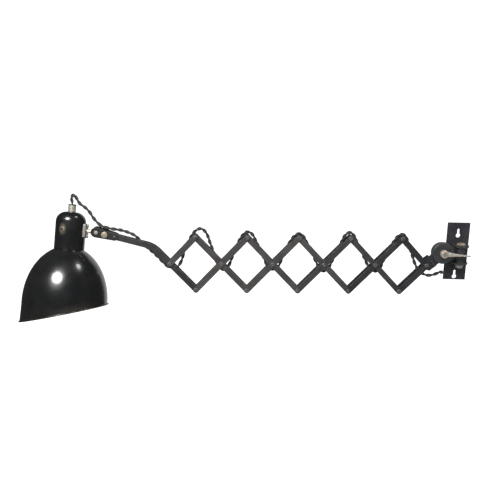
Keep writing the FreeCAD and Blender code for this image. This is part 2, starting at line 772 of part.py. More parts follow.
def cord_nipple():
    """A turned nipple: a thick collar above the cover, a thread through it below."""
    head = rod(NIPPLE_R, Z * COVER_TOP, Z * (COVER_TOP + NIPPLE_HEIGHT))
    head = head.makeChamfer(0.6, [e for e in head.Edges if e.BoundBox.ZMin > COVER_TOP + 1])
    thread = rod(NIPPLE_THREAD_R, Z * (HOLDER_TOP - 6), Z * COVER_TOP)
    bore = rod(NIPPLE_BORE_R, O, Z * (COVER_TOP + NIPPLE_HEIGHT + 1))
    return head.fuse(thread).cut(bore)


def nipple_collar():
    """A dark bush pressed on the nipple's mouth, which grips the lead."""
    low = COVER_TOP + NIPPLE_HEIGHT
    bush = stood(domed(COLLAR_R, COLLAR_HEIGHT * 0.6, COLLAR_HEIGHT * 0.4), Z * low, Z)
    return bush.cut(rod(NIPPLE_BORE_R, Z * (low - 1), Z * (low + COLLAR_HEIGHT + 1)))


def lampholder_body():
    """The insulating body, bored for the screw shell and tapped for the nipple."""
    body = rod(HOLDER_R, Z * HOLDER_FOOT, Z * HOLDER_TOP)
    body = body.makeChamfer(2.0, [e for e in body.Edges if e.BoundBox.ZMin > HOLDER_TOP - 1])
    cup = rod(SOCKET_R + SOCKET_SHELL + FIT, Z * (HOLDER_FOOT - 1), Z * (HOLDER_FOOT + SOCKET_DEPTH))
    wire_way = rod(NIPPLE_THREAD_R + FIT, Z * (HOLDER_TOP - 6), Z * (HOLDER_TOP + 1))
    return body.cut([cup, wire_way])


def lampholder_contacts():
    """The brass screw shell, and the centre contact at the bottom of the cup."""
    foot = HOLDER_FOOT + SHELL_SET_BACK
    top = HOLDER_FOOT + SOCKET_DEPTH
    shell_top = top - CONTACT_THICK
    shell = rod(SOCKET_R + SOCKET_SHELL, Z * foot, Z * shell_top)
    shell = shell.cut(rod(SOCKET_R, Z * (foot - 1), Z * (shell_top + 1)))
    contact = rod(CONTACT_R, Z * shell_top, Z * top)
    return [shell, contact]


def shade_ring():
    """A threaded ring that clamps the shade's flange up against the cover."""
    top = COVER_FOOT - SHADE_WALL
    ring = rod(RING_R, Z * (top - RING_HEIGHT), Z * top)
    ring = ring.makeChamfer(0.8, [e for e in ring.Edges if e.BoundBox.ZMax < top - RING_HEIGHT + 1])
    return ring.cut(rod(HOLDER_R + FIT, Z * HOLDER_FOOT, Z * HOLDER_TOP))


def switch_bush():
    """A round escutcheon with a short barrel through the cover."""
    out = switch_line()
    barrel = rod(SWITCH_BUSH_R - 1.2, out * (COVER_R - SWITCH_BUSH_DEPTH), out * (COVER_R + 0.2))
    face = stood(domed(SWITCH_BUSH_R, SWITCH_BUSH_PROUD * 0.5, SWITCH_BUSH_PROUD), out * (COVER_R - 0.8), out)
    face = face.cut(rod(COVER_R, Z * -BRACKET_HEIGHT, Z * BRACKET_HEIGHT))
    return barrel.fuse(face).cut(rod(SPINDLE_R + RUN, O, out * BALL_OUT))


def switch_spindle():
    """The short stub that turns in the bush."""
    out = switch_line()
    end = COVER_R + SPINDLE_PROUD
    stub = rod(SPINDLE_R, out * (COVER_R - SWITCH_BUSH_DEPTH - 2), out * end)
    return slotted(stub, out * end, out, Z)


def dome(inset, foot):
    """A solid dome, inset from the outer skin: an elliptical cap, then a straight skirt."""
    radius = SHADE_R - inset
    height = DOME_HEIGHT / math.sqrt(1 - (SHOULDER_R / SHADE_R) ** 2) - inset
    top = COVER_FOOT - inset
    flange = at(0, top)
    spring = at(0, DOME_SPRING)
    ellipse = Part.Ellipse(spring + Z * height, spring + X * radius, spring)
    start = math.acos((top - DOME_SPRING) / height)
    arc = Part.ArcOfEllipse(ellipse, start, math.pi / 2)
    low, high = arc.value(math.pi / 2), arc.value(start)
    edges = [
        Part.LineSegment(flange, high).toShape(),
        arc.toShape(),
        Part.LineSegment(low, at(radius, foot)).toShape(),
        Part.LineSegment(at(radius, foot), at(0, foot)).toShape(),
        Part.LineSegment(at(0, foot), flange).toShape(),
    ]
    return Part.Face(Part.Wire(edges)).revolve(O, Z, 360)


def slanted_slab(thick):
    """A slab whose lower face is the slanted rim plane, lower away from the arm."""
    reach = 3 * SHADE_R
    slab = box((-reach, reach), (-reach, reach), (0, thick))
    slab.rotate(O, Y, -RIM_SLANT)
    slab.translate(Z * RIM_DROP)
    return slab


def shade():
    """The spun dome with its slanted mouth and the bead rolled along it."""
    foot = RIM_DROP - SHADE_R
    body = dome(0, foot)
    inside = dome(SHADE_WALL, foot - 1)
    hole = rod(HOLDER_R + FIT, Z * HOLDER_FOOT, Z * HOLDER_TOP)
    bead = rod(SHADE_R + RIM_BEAD_PROUD, Z * foot, Z * (RIM_DROP + SHADE_R))
    bead = bead.common(slanted_slab(RIM_BEAD))
    rim_edges = [e for e in bead.Edges if e.Length > SHADE_R]
    bead = bead.makeFillet(RIM_BEAD * 0.4, rim_edges)
    skirt = body.common(slanted_slab(3 * SHADE_R))
    return skirt.fuse(bead).cut([inside, hole])


# ---- twisted lead ---------------------------------------------------------------------
# The lead's route, in the arm's frame unless named otherwise: out of the nipple, over
# in a tight bight, down on to the ball clamp, along the head arm and between its
# strips, then over every top pivot and under every middle one to the wall.
BIGHT = [(-779.5, 15.5, 106.2), (-774.0, 15.5, 114.2), (-768.5, 14.5, 107.2)]
HEAD_RUN = [
    (-762.9, 12.5, 96.0),
    (-750.9, 10.5, 88.4),
    (-742.1, 8.5, 79.9),
    (-733.8, 5.5, 66.0),
    (-719.3, 1.5, 54.4),
    (-699.0, 0.0, 50.0),
    (-682.0, 0.0, 48.5),
    (-667.0, 0.0, 43.0),
    (-654.5, 0.0, 34.0),
    (-643.0, 0.0, 22.0),
    (-632.0, 0.0, 9.6),
    (-618.0, 0.0, -2.0),
    (-606.5, 0.0, -14.0),
    (-595.5, 0.0, -26.0),
    (-583.5, 0.0, -33.5),
    (-568.5, 0.0, -30.0),
    (-560.0, 0.0, -16.0),
    (-556.0, 0.0, 2.0),
]
OVER_AND_UNDER = [
    [(-549.0, 21.5), (-541.0, 39.0), (-533.0, 48.5), (-519.5, 50.5), (-509.0, 39.5), (-503.5, 21.0)],
    [(-497.0, 3.5), (-492.0, -14.5), (-487.5, -30.5), (-477.0, -36.5), (-466.0, -28.5), (-460.5, -12.5)],
    [(-454.5, 4.5), (-447.0, 22.5), (-438.5, 37.0), (-429.5, 44.5), (-419.5, 40.5), (-413.0, 28.0)],
    [(-404.5, 9.5), (-395.5, -9.0), (-389.0, -26.5), (-376.5, -36.5), (-363.5, -29.0), (-358.0, -12.5)],
    [(-351.5, 5.0), (-344.0, 23.5), (-335.5, 37.0), (-325.5, 44.0), (-315.5, 37.5), (-308.5, 22.5)],
    [(-300.5, 5.5), (-293.0, -13.0), (-286.0, -29.5), (-274.0, -38.5), (-261.0, -29.5), (-255.5, -13.5)],
    [(-248.5, 4.0), (-241.0, 23.0), (-234.5, 38.5), (-224.0, 45.5), (-214.0, 39.5), (-208.0, 24.5)],
    [(-200.0, 6.5), (-191.5, -12.0), (-183.0, -28.5), (-170.5, -38.0), (-157.5, -31.0), (-152.5, -14.0)],
    [(-145.5, 3.5), (-138.5, 21.5), (-129.5, 37.5), (-120.0, 44.0), (-110.5, 37.0), (-106.0, 20.5)],
    [(-98.5, 2.0), (-92.0, -16.5), (-83.5, -33.0), (-69.5, -43.5), (-55.0, -44.5), (-43.0, -39.5)],
]
WALL_END = [(-34.5, -24.0, -39.5), (-28.5, -16.0, -42.5), (-27.5, -7.5, -43.5), (-27.5, -0.3, -43.6)]
NIPPLE_START = 4.0


def lead_route():
    """All the route's points in the lamp's frame."""
    mouth = COVER_TOP + NIPPLE_HEIGHT
    start = [on_arm(Part.Vertex(0, 0, z)).Point for z in (mouth - NIPPLE_START, mouth + COLLAR_HEIGHT + 4)]
    arm = start + [FreeCAD.Vector(*p) for p in BIGHT + HEAD_RUN]
    arm += [at(x, z) for loop in OVER_AND_UNDER for x, z in loop]
    lamp = [on_wall(Part.Vertex(p)).Point for p in arm]
    return lamp + [FreeCAD.Vector(*p) for p in WALL_END]


def corner_radius(before, corner, after):
    """The largest arc that the two runs at a corner allow."""
    turn = (corner - before).getAngle(after - corner)
    shorter = min((corner - before).Length, (after - corner).Length)
    return LEAD_SHARE * shorter / math.tan(turn / 2)


def lead_edges(points, first, last):
    """Straight runs and tangent arcs, from the middle of run first to that of run last."""
    def run_middle(i):
        return (points[i] + points[i + 1]) * 0.5

    here = points[0] if first == 0 else run_middle(first)
    finish = points[-1] if last == len(points) - 2 else run_middle(last)
    edges = []
    for i in range(first + 1, last + 1):
        before, corner, after = points[i - 1], points[i], points[i + 1]
        cut = LEAD_SHARE * min((corner - before).Length, (after - corner).Length)
        back = (before - corner).normalize()
        on = (after - corner).normalize()
        radius = corner_radius(before, corner, after)
        to_centre = (back + on).normalize()
        centre_out = math.sqrt(radius ** 2 + cut ** 2)
        mid = corner + to_centre * (centre_out - radius)
        edges.append(Part.LineSegment(here, corner + back * cut).toShape())
        edges.append(Part.Arc(corner + back * cut, mid, corner + on * cut).toShape())
        here = corner + on * cut
    edges.append(Part.LineSegment(here, finish).toShape())
    return edges


def lead_piece(points, first, last):
    """One stretch of the lead as a tube, with its volume set against its length."""
    path = Part.Wire(lead_edges(points, first, last))
    start = path.Vertexes[0].Point
    direction = path.Edges[0].tangentAt(path.Edges[0].FirstParameter)
    section = Part.Wire(Part.Circle(start, direction, LEAD_R).toShape())
    tube = path.makePipeShell([section], True, False)
    ideal = math.pi * LEAD_R ** 2 * path.Length
    print("lead run %.1f mm, volume over section times length %.4f" % (path.Length, tube.Volume / ideal))
    return tube


def lead_cuts(points):
    """Where the lead is divided: (name, first run, last run), one piece to a pivot."""
    names = ["lead_at_nipple", "lead_at_ball", "lead_under_middle_0"]
    ends = [0, 5, 12, 21]
    for i in range(DIAMONDS):
        names += ["lead_over_top_%d" % (i + 1), "lead_under_middle_%d" % (i + 1)]
        step = ends[-1] + 6
        ends += [step, step + 6]
    ends[-1] -= 2
    names += ["lead_past_tilt", "lead_to_wall"]
    ends += [ends[-1] + 3, len(points) - 2]
    return list(zip(names, ends, ends[1:]))


def lead():
    points = lead_route()
    radii = [corner_radius(*points[i - 1:i + 2]) for i in range(1, len(points) - 1)]
    print("lead radii", " ".join("%.0f" % r for r in radii))
    edges = lead_edges(points, 0, len(points) - 2)
    print("lead length %.0f mm" % sum(edge.Length for edge in edges))
    for name, first, last in lead_cuts(points):
        write(name, lead_piece(points, first, last))


# ---- the whole lamp --------------------------------------------------------------------
def main():
    os.makedirs("parts", exist_ok=True)
    write("wall_plate", wall_plate())
    write("hinge_lugs", [hinge_lug(1), hinge_lug(-1)])
    write("lug_rivets", foot_rivets())
    write("hinge_pin", hinge_pin())
    write("hinge_nut", hinge_nut())
    write("hinge_washers", hinge_washers())
    write("swivel_block", swivel_block(), on_wall)
    write("friction_washer", friction_washer(), on_wall)
    write("tilt_bolt", tilt_bolt(), on_wall)
    write("tilt_knuckle", tilt_knuckle(), on_wall)
    write("clamp_lever", clamp_lever(), on_wall)
    for i in range(DIAMONDS + 1):
        write("rising_bars_%d" % i, rising_bars(i), on_wall)
        write("pivot_rivets_%d" % i, pivot_rivets(i), on_wall)
        if i > 0:
            write("falling_bars_%d" % i, falling_bars(i), on_wall)
    write("head_arm", head_arm(), on_wall)
    write("clamp_cheeks", clamp_cheeks(), on_wall)
    write("clamp_screw", clamp_screw(), on_wall)
    write("clamp_nut", clamp_nut(), on_wall)
    write("cheek_rivet", cheek_rivet(), on_wall)
    write("ball_stem", ball_stem(), on_arm, on_wall)
    write("stem_bracket", stem_bracket(), on_arm, on_wall)
    write("bracket_screws", bracket_screws(), on_arm, on_wall)
    write("housing_cover", housing_cover(), on_arm, on_wall)
    write("cord_nipple", cord_nipple(), on_arm, on_wall)
    write("nipple_collar", nipple_collar(), on_arm, on_wall)
    write("lampholder_body", lampholder_body(), on_arm, on_wall)
    write("lampholder_contacts", lampholder_contacts(), on_arm, on_wall)
    write("shade_ring", shade_ring(), on_arm, on_wall)
    write("switch_bush", switch_bush(), on_arm, on_wall)
    write("switch_spindle", switch_spindle(), on_arm, on_wall)
    write("shade", shade(), on_arm, on_wall)
    lead()


main()
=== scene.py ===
# %% [markdown]
# # An accordion wall lamp
#
# The lamp is a steel plate with a hinge, a scissor arm of double strips, a ball-jointed
# head with a spun steel shade, and a twisted lead woven through the arm. Its solids come
# in first as a fixed frame, and every finer surface below is worked out from the same
# sizes, so that it lies exactly where its solid does.

# %% Load the lamp's frame
import json
import math

import bmesh
import bpy
import numpy as np
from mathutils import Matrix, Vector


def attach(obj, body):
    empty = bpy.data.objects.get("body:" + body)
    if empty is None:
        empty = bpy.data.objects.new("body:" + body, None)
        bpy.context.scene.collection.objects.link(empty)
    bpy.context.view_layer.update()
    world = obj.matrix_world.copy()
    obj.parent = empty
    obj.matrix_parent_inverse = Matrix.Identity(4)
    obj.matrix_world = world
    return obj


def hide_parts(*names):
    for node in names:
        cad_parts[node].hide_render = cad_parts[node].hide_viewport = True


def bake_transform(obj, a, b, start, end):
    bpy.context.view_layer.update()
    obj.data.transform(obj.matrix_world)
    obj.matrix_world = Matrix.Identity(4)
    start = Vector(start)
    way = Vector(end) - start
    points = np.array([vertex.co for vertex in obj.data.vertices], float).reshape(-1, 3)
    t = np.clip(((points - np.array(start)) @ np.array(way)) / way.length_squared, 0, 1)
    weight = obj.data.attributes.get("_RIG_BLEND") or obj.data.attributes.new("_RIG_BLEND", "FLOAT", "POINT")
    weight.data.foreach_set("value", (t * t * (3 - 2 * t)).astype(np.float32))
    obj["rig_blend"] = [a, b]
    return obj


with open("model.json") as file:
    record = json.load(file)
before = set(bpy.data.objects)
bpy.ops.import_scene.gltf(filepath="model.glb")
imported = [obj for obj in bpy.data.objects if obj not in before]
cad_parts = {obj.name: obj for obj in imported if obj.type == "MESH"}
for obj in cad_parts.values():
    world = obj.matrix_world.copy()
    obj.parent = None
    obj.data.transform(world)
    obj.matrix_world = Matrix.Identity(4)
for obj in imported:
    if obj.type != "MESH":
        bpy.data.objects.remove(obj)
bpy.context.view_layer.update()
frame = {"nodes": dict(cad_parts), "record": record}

# %% [markdown]
# ## Three frames
#
# Each piece is easiest to describe where it was made: the arm flat on a bench, the head
# upright on a lathe. Sizes are in millimetres there. Two turns bring the head on to the
# ball, and one swing about the hinge pin takes the arm off the wall.

# %% Frames of the arm and the head
SWING = 4.0
PIN_OFF_WALL = 28.5
HEAD_TILT = 3.5
HEAD_ROLL = 14.5
BALL_OUT = 51.6


def turn(axis, degrees):
    """A rotation matrix about x, y or z, in which row vectors are turned by v @ m.T."""
    c, s = math.cos(math.radians(degrees)), math.sin(math.radians(degrees))
    rows = {
        "x": [[1, 0, 0], [0, c, -s], [0, s, c]],
        "y": [[c, 0, s], [0, 1, 0], [-s, 0, c]],
        "z": [[c, -s, 0], [s, c, 0], [0, 0, 1]],
    }
    return np.array(rows[axis], float)


def on_wall(points):
    """Millimetres on the plate to metres in the lamp's frame: here only the scale."""
    return np.asarray(points, float) / 1000


def on_arm(points):
    """Arm to lamp: p turned by the swing about the pin, then moved off the wall."""
    return (np.asarray(points, float) @ turn("z", SWING).T - [0, PIN_OFF_WALL, 0]) / 1000


print("pin", PIN_OFF_WALL, "mm off the wall, arm swung", SWING, "degrees")

# %% [markdown]
# Equal bars make a row of equal rhombuses, so two directions and one length give every
# pivot. They could be placed by eye, but then the bars wouldn't meet when the arm moves.

# %% Where the arm's pivots are
BAR_HALF = 75.0
REST_ANGLE = 46.6
ARM_BEND = 32.2
TO_CORNER, TO_BALL = 47.6, 115.4
LAST_PIVOT = np.array([-68.5, 0.0, -22.0])
TILT_AXIS = np.array([-37.5, 0.0, 4.0])
lean = math.radians(REST_ANGLE)
rising = np.array([math.cos(lean), 0, math.sin(lean)])
falling = np.array([-math.cos(lean), 0, math.sin(lean)])
pitch = 2 * BAR_HALF * rising[0]
middle = [LAST_PIVOT - [pitch * (5 - i), 0, 0] for i in range(6)]
top = [middle[i] + rising * BAR_HALF for i in range(5)]
low = [middle[i + 1] - rising * BAR_HALF for i in range(5)]
arm_lean = math.radians(REST_ANGLE - ARM_BEND)
along_arm = np.array([-math.cos(arm_lean), 0, math.sin(arm_lean)])
corner = middle[0] + falling * TO_CORNER
BALL = corner + along_arm * TO_BALL
head_turn = turn("y", HEAD_TILT) @ turn("x", -HEAD_ROLL)


def on_head(points):
    """Head to lamp: p counted from the ball, rolled and tilted there, then as the arm."""
    return on_arm((np.asarray(points, float) - [BALL_OUT, 0, 0]) @ head_turn.T + BALL)


print("ball", np.round(on_arm(BALL) * 1000, 1), "pitch %.2f mm" % pitch)

# %% [markdown]
# ## The camera
#
# The view was worked out from the pivots' places in the photograph: a lens of normal
# length, a little above the arm, square to it. The camera is set before anything else,
# because every later choice of detail depends on what it sees.

# %% Camera
SENSOR = 36.0
FOCAL = 1.1 * SENSOR
DISTANCE = 1.1028
CAMERA_ROLL = 0.47


def in_scene(name, data):
    """A new object for a camera, mesh or lamp, linked into the scene."""
    obj = bpy.data.objects.new(name, data)
    bpy.context.collection.objects.link(obj)
    return obj


aim = on_arm([-423.3, 0, 6.2])
azimuth, elevation = math.radians(SWING - 0.32), math.radians(13.67)
level_out = [math.sin(azimuth), -math.cos(azimuth)]
outward = np.array([v * math.cos(elevation) for v in level_out] + [math.sin(elevation)])
lens = bpy.data.cameras.new("camera")
lens.lens, lens.sensor_width, lens.clip_start = FOCAL, SENSOR, 0.01
camera = in_scene("camera", lens)
camera.location = aim + outward * DISTANCE
camera.rotation_euler = (math.pi / 2 - elevation, 0.0, azimuth)
camera.rotation_euler.rotate_axis("Z", math.radians(CAMERA_ROLL))
bpy.context.scene.camera = camera
print("camera at", np.round(camera.location, 3))

# %% [markdown]
# ## Surfaces by formula
#
# Three kinds of surface make nearly every piece: a half outline turned about an axis, a
# flat outline given a thickness, and a round section carried along a path. Each helper
# returns points, faces and a wear mark, which is 1 on the arrises, where paint rubs off.

# %% Rounded corners
def eased(outline, radius, closed=False, steps=3, guard=0.7):
    """Round an outline's corners.

    Each corner p becomes the curve (1-t)^2 a + 2t(1-t) p + t^2 b between the points a
    and b that lie `radius` along its two sides, or 45% of a side that is short. A guard
    point on each side keeps the flat beside the corner flat. Returns points and marks.
    """
    p = np.asarray(outline, float)
    back, on = np.roll(p, 1, 0) - p, np.roll(p, -1, 0) - p
    back_long = np.maximum(np.linalg.norm(back, axis=1, keepdims=True), 1e-9)
    on_long = np.maximum(np.linalg.norm(on, axis=1, keepdims=True), 1e-9)
    a = p + back / back_long * np.minimum(radius, 0.45 * back_long)
    b = p + on / on_long * np.minimum(radius, 0.45 * on_long)
    a_guard = p + back / back_long * np.minimum(radius + guard, 0.48 * back_long)
    b_guard = p + on / on_long * np.minimum(radius + guard, 0.48 * on_long)
    t = np.linspace(0, 1, steps + 2)[:, None, None]
    curve = (1 - t) ** 2 * a + 2 * t * (1 - t) * p + t ** 2 * b
    rows = np.concatenate([a_guard[None], curve, b_guard[None]])
    marks = np.ones((len(rows), len(p)))
    marks[[0, -1]] = 0
    points, marks = rows.transpose(1, 0, 2), marks.T
    if closed:
        return points.reshape(-1, 2), marks.ravel()
    inner = points[1:-1].reshape(-1, 2)
    return np.vstack([p[:1], inner, p[-1:]]), np.concatenate([[0], marks[1:-1].ravel(), [0]])


def grid_faces(rows, columns, closed_rows=False):
    """Quads of a grid whose columns close on themselves; its rows may close too."""
    i = np.arange(rows if closed_rows else rows - 1)[:, None]
    j = np.arange(columns)[None, :]
    i2, j2 = (i + 1) % rows, (j + 1) % columns
    corners = [i * columns + j, i * columns + j2, i2 * columns + j2, i2 * columns + j]
    return np.stack(corners, -1).reshape(-1, 4).tolist()


corner_points, corner_marks = eased([(0, 0), (9, 0), (9, 9)], 1.0)
print("an eased corner has", int(corner_marks.sum()), "worn points of", len(corner_points))


# %% [markdown]
# Rivets, the pin and the nipple come off a lathe. A Screw modifier could turn an outline
# too; a formula gives the wear marks along with the points.

# %% Turned pieces
def stood(points, base, direction):
    """Turn +Z to a direction, by an orthonormal frame built on it, and move to a base."""
    z = np.asarray(direction, float) / np.linalg.norm(direction)
    x = np.cross([0.0, 1.0, 0.0] if abs(z[1]) < 0.9 else [1.0, 0.0, 0.0], z)
    x /= np.linalg.norm(x)
    return points @ np.array([x, np.cross(z, x), z]) + base


def turned(outline, base=(0, 0, 0), direction=(0, 0, 1), ease=0.3, around=64, closed=False):
    """A half outline (r, h) turned about an axis: (r cos a, r sin a, h) for each angle a."""
    profile, marks = eased(outline, ease, closed) if ease else (np.asarray(outline, float), None)
    marks = np.zeros(len(profile)) if marks is None else marks
    a = np.linspace(0, 2 * math.pi, around, endpoint=False)
    r, h = profile[:, :1], profile[:, 1:]
    points = np.stack([r * np.cos(a), r * np.sin(a), h + 0 * a], -1).reshape(-1, 3)
    faces = grid_faces(len(profile), around, closed)
    return stood(points, np.asarray(base, float), direction), faces, np.repeat(marks, around)


print("a turned peg has", len(turned([(0, 0), (2, 0), (2, 9), (0, 9)])[1]), "faces")


# %% [markdown]
# The bars are sheared from flat steel. An extruded curve with a bevel could make them, but
# insets along the outline's own normals keep the same soft arris on straights and ends.

# %% Flat strips
def ribbon(path, half, steps=10):
    """The outline of a strip of half width `half` along a path, with round ends."""
    p = np.asarray(path, float)
    d = np.gradient(p, axis=0)
    d /= np.linalg.norm(d, axis=1, keepdims=True)
    side = np.stack([-d[:, 1], d[:, 0]], -1) * half
    a = np.linspace(0, math.pi, steps + 2)[1:-1, None]
    end = p[-1] + np.cos(a) * side[-1] + np.sin(a) * d[-1] * half
    start = p[0] - np.cos(a) * side[0] - np.sin(a) * d[0] * half
    return np.vstack([p + side, end, (p - side)[::-1], start])


def strip(outline, near, far, ease=0.35):
    """A flat outline (x, z) from y = near to y = far, its edges rounded by insets.

    Ring k of the surface is the outline moved inwards by inset_k along its own normals,
    at depth level_k; the two smallest rings are closed by flat faces.
    """
    p = np.asarray(outline, float)
    d = np.roll(p, -1, 0) - np.roll(p, 1, 0)
    inward = np.stack([-d[:, 1], d[:, 0]], -1)
    inward /= np.linalg.norm(inward, axis=1, keepdims=True)
    area = np.sum(p[:, 0] * np.roll(p[:, 1], -1) - np.roll(p[:, 0], -1) * p[:, 1])
    inward *= np.sign(area)
    curve = 1 - np.sin(np.linspace(0, math.pi / 2, 4))
    inset = np.concatenate([[ease + 0.8], ease * curve, ease * curve[::-1], [ease + 0.8]])
    depth = ease * curve[::-1]
    level = np.concatenate([[near], near + depth, far - depth[::-1], [far]])
    mark = np.array([0, 0.7, 1, 1, 0.8, 0.8, 1, 1, 0.7, 0])
    rings = p[None] + inward[None] * inset[:, None, None]
    y = np.broadcast_to(level[:, None, None], (len(level), len(p), 1))
    points = np.concatenate([rings[..., :1], y, rings[..., 1:]], -1).reshape(-1, 3)
    n = len(p)
    caps = [list(range(n)), list(range((len(level) - 1) * n, len(level) * n))]
    return points, grid_faces(len(level), n) + caps, np.repeat(mark, n)


print("a short strip has", len(strip(ribbon([(0, 0), (50, 0)], 5.0), 0.0, 2.0)[1]), "faces")

# %% [markdown]
# A surface becomes a mesh and then a piece of the lamp. It rides on the body that its
# solid belongs to, so it moves when that joint does, and it stands in for the solid.

# %% Which body each solid rides on
body_of_node = {
    node: body
    for body, nodes in frame["record"]["behaviour"]["bodies"].items()
    for node in nodes
}


# %% Putting a mesh into the scene
def together(parts):
    """Several surfaces as one: their points stacked and their faces renumbered."""
    starts = np.cumsum([0] + [len(p[0]) for p in parts])
    faces = [[i + int(s) for i in f] for part, s in zip(parts, starts) for f in part[1]]
    return np.vstack([p[0] for p in parts]), faces, np.concatenate([p[2] for p in parts])


def reworked(mesh, *tools):
    """Run mesh tools on a mesh, one after the other."""
    work = bmesh.new()
    work.from_mesh(mesh)
    for tool in tools:
        tool(work)
    work.to_mesh(mesh)
    work.free()


def joined(work):
    """Points that coincide become one."""
    bmesh.ops.remove_doubles(work, verts=work.verts, dist=2e-6)


def facing_out(work):
    """Every face looks outwards."""
    bmesh.ops.recalc_face_normals(work, faces=work.faces)


def settle(obj, node):
    """Let a finished piece stand for its solid and ride with it."""
    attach(obj, body_of_node[node])
    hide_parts(node)
    return obj


def piece(node, parts, coating, place=on_arm, sharp=38, rubbed=None, second=None):
    """Build a mesh from surfaces in one frame and settle it on its node.

    `rubbed` marks points that hands have touched; `second` is another finish and the
    number of the first face that takes it.
    """
    points, faces, marks = together(parts)
    touched = np.zeros(len(points)) if rubbed is None else rubbed(points)
    mesh = bpy.data.meshes.new(node + "_made")
    mesh.from_pydata(place(points).tolist(), [], faces)
    for name, values in (("wear", marks), ("rubbed", touched)):
        layer = mesh.attributes.new(name, "FLOAT", "POINT")
        layer.data.foreach_set("value", np.asarray(values, np.float32))
    mesh.materials.append(coating)
    if second:
        mesh.materials.append(second[0])
        numbers = np.arange(len(mesh.polygons)) >= second[1]
        mesh.polygons.foreach_set("material_index", numbers.astype(np.int32))
    reworked(mesh, joined, facing_out)
    mesh.shade_smooth()
    mesh.set_sharp_from_angle(angle=math.radians(sharp))
    print(node, len(mesh.polygons), "faces")
    return settle(in_scene(node + "_made", mesh), node)


print("pieces are put in by", piece.__name__, "and", settle.__name__)

# %% [markdown]
# ## Finishes
#
# The lamp is old: glossy black stoving enamel on the head, thin satin paint on the arm
# rubbed grey along its arrises, and nickel gone yellow and brown. The effects that
# several finishes share are node groups: a fine grain, a broad unevenness, and the wear
# that the marks on each mesh allow. The shader itself stays in each material.

# %% Shader nodes in one call
def fill(tree, node, inputs):
    """Each input takes a value, or a link if it is given another node's output."""
    for key, value in inputs.items():
        if isinstance(value, bpy.types.NodeSocket):
            tree.links.new(value, node.inputs[key])
        else:
            node.inputs[key].default_value = value
    return node


def add(tree, kind, inputs, **settings):
    """A new shader node: first its settings, then its inputs."""
    node = tree.nodes.new("ShaderNode" + kind)
    for key, value in settings.items():
        setattr(node, key, value)
    return fill(tree, node, inputs)


def noise(tree, vector, scale, detail=3.0, roughness=0.55):
    """A cloudy value from 0 to 1."""
    inputs = {"Vector": vector, "Scale": scale, "Detail": detail, "Roughness": roughness}
    return add(tree, "TexNoise", inputs).outputs["Fac"]


def steps_between(tree, value, start, end):
    """0 below start, 1 above end, smooth between."""
    inputs = {"Value": value, "From Min": start, "From Max": end}
    return add(tree, "MapRange", inputs, interpolation_type="SMOOTHSTEP").outputs["Result"]


def maths(tree, operation, a, b):
    """One sum on two values."""
    return add(tree, "Math", {0: a, 1: b}, operation=operation).outputs[0]


def mixed(tree, mask, a, b):
    """Colour a where the mask is 0 and b where it is 1; a plain colour is a tuple."""
    a, b = [(*c, 1.0) if isinstance(c, tuple) else c for c in (a, b)]
    inputs = {"Factor": mask, "A": a, "B": b}
    return add(tree, "Mix", inputs, data_type="RGBA").outputs["Result"]


print("nodes are made by", add.__name__, "and filled by", fill.__name__)


# %% [markdown]
# Grain, rubbed edges and flecks are on nearly every finish, so each is a group with its
# own inputs. It's built once, and a change to it changes every finish that uses it.

# %% Shared effects
def effect(name, inputs, outputs):
    """An empty node group with named float inputs (and a vector) and float outputs."""
    group = bpy.data.node_groups.new(name, "ShaderNodeTree")
    group.interface.new_socket("Vector", in_out="INPUT", socket_type="NodeSocketVector")
    for key, value in inputs.items():
        socket = group.interface.new_socket(key, in_out="INPUT", socket_type="NodeSocketFloat")
        socket.default_value = value
    for key in outputs:
        group.interface.new_socket(key, in_out="OUTPUT", socket_type="NodeSocketFloat")
    return group, group.nodes.new("NodeGroupInput"), group.nodes.new("NodeGroupOutput")


# Grain: a fine noise for the bump, and a broad one that shifts colour and gloss.
grain, g_in, g_out = effect("Grain", {"Scale": 900.0}, ["Height", "Broad"])
fine = noise(grain, g_in.outputs["Vector"], g_in.outputs["Scale"], 4.0)
broad = noise(grain, g_in.outputs["Vector"], 28.0, 3.0)
grain.links.new(fine, g_out.inputs["Height"])
grain.links.new(steps_between(grain, broad, 0.35, 0.68), g_out.inputs["Broad"])

# Wear: the mesh's mark, broken up by a noise, more of it as Amount grows. Everywhere is
# 1 on the faces that a bevel makes, which carry no mark of their own.
wear, w_in, w_out = effect("Rubbed Edges", {"Amount": 0.5, "Everywhere": 0.0}, ["Mask"])
mark = add(wear, "Attribute", {}, attribute_name="wear")
broken = noise(wear, w_in.outputs["Vector"], 160.0, 5.0, 0.65)
lift = maths(wear, "ADD", broken, maths(wear, "MULTIPLY", w_in.outputs["Amount"], 0.4))
where = maths(wear, "MAXIMUM", mark.outputs["Fac"], w_in.outputs["Everywhere"])
bare = maths(wear, "MULTIPLY", steps_between(wear, lift, 0.62, 0.78), where)
wear.links.new(bare, w_out.inputs["Mask"])

# Spots: small scattered flecks, for pitting, dust and tarnish.
spots, s_in, s_out = effect("Spots", {"Scale": 500.0, "Amount": 0.3}, ["Mask"])
fleck = noise(spots, s_in.outputs["Vector"], s_in.outputs["Scale"], 2.0, 0.7)
raised = maths(spots, "ADD", fleck, maths(spots, "MULTIPLY", s_in.outputs["Amount"], 0.3))
spots.links.new(steps_between(spots, raised, 0.72, 0.8), s_out.inputs["Mask"])
print("effects", grain.name, wear.name, spots.name)


# %% [markdown]
# Every finish has the same build-up: a colour that drifts, flecks over it, bare metal
# through it at the arrises, and a fine grain. One maker lays them in that order, so each
# finish is only a row of colours and amounts.

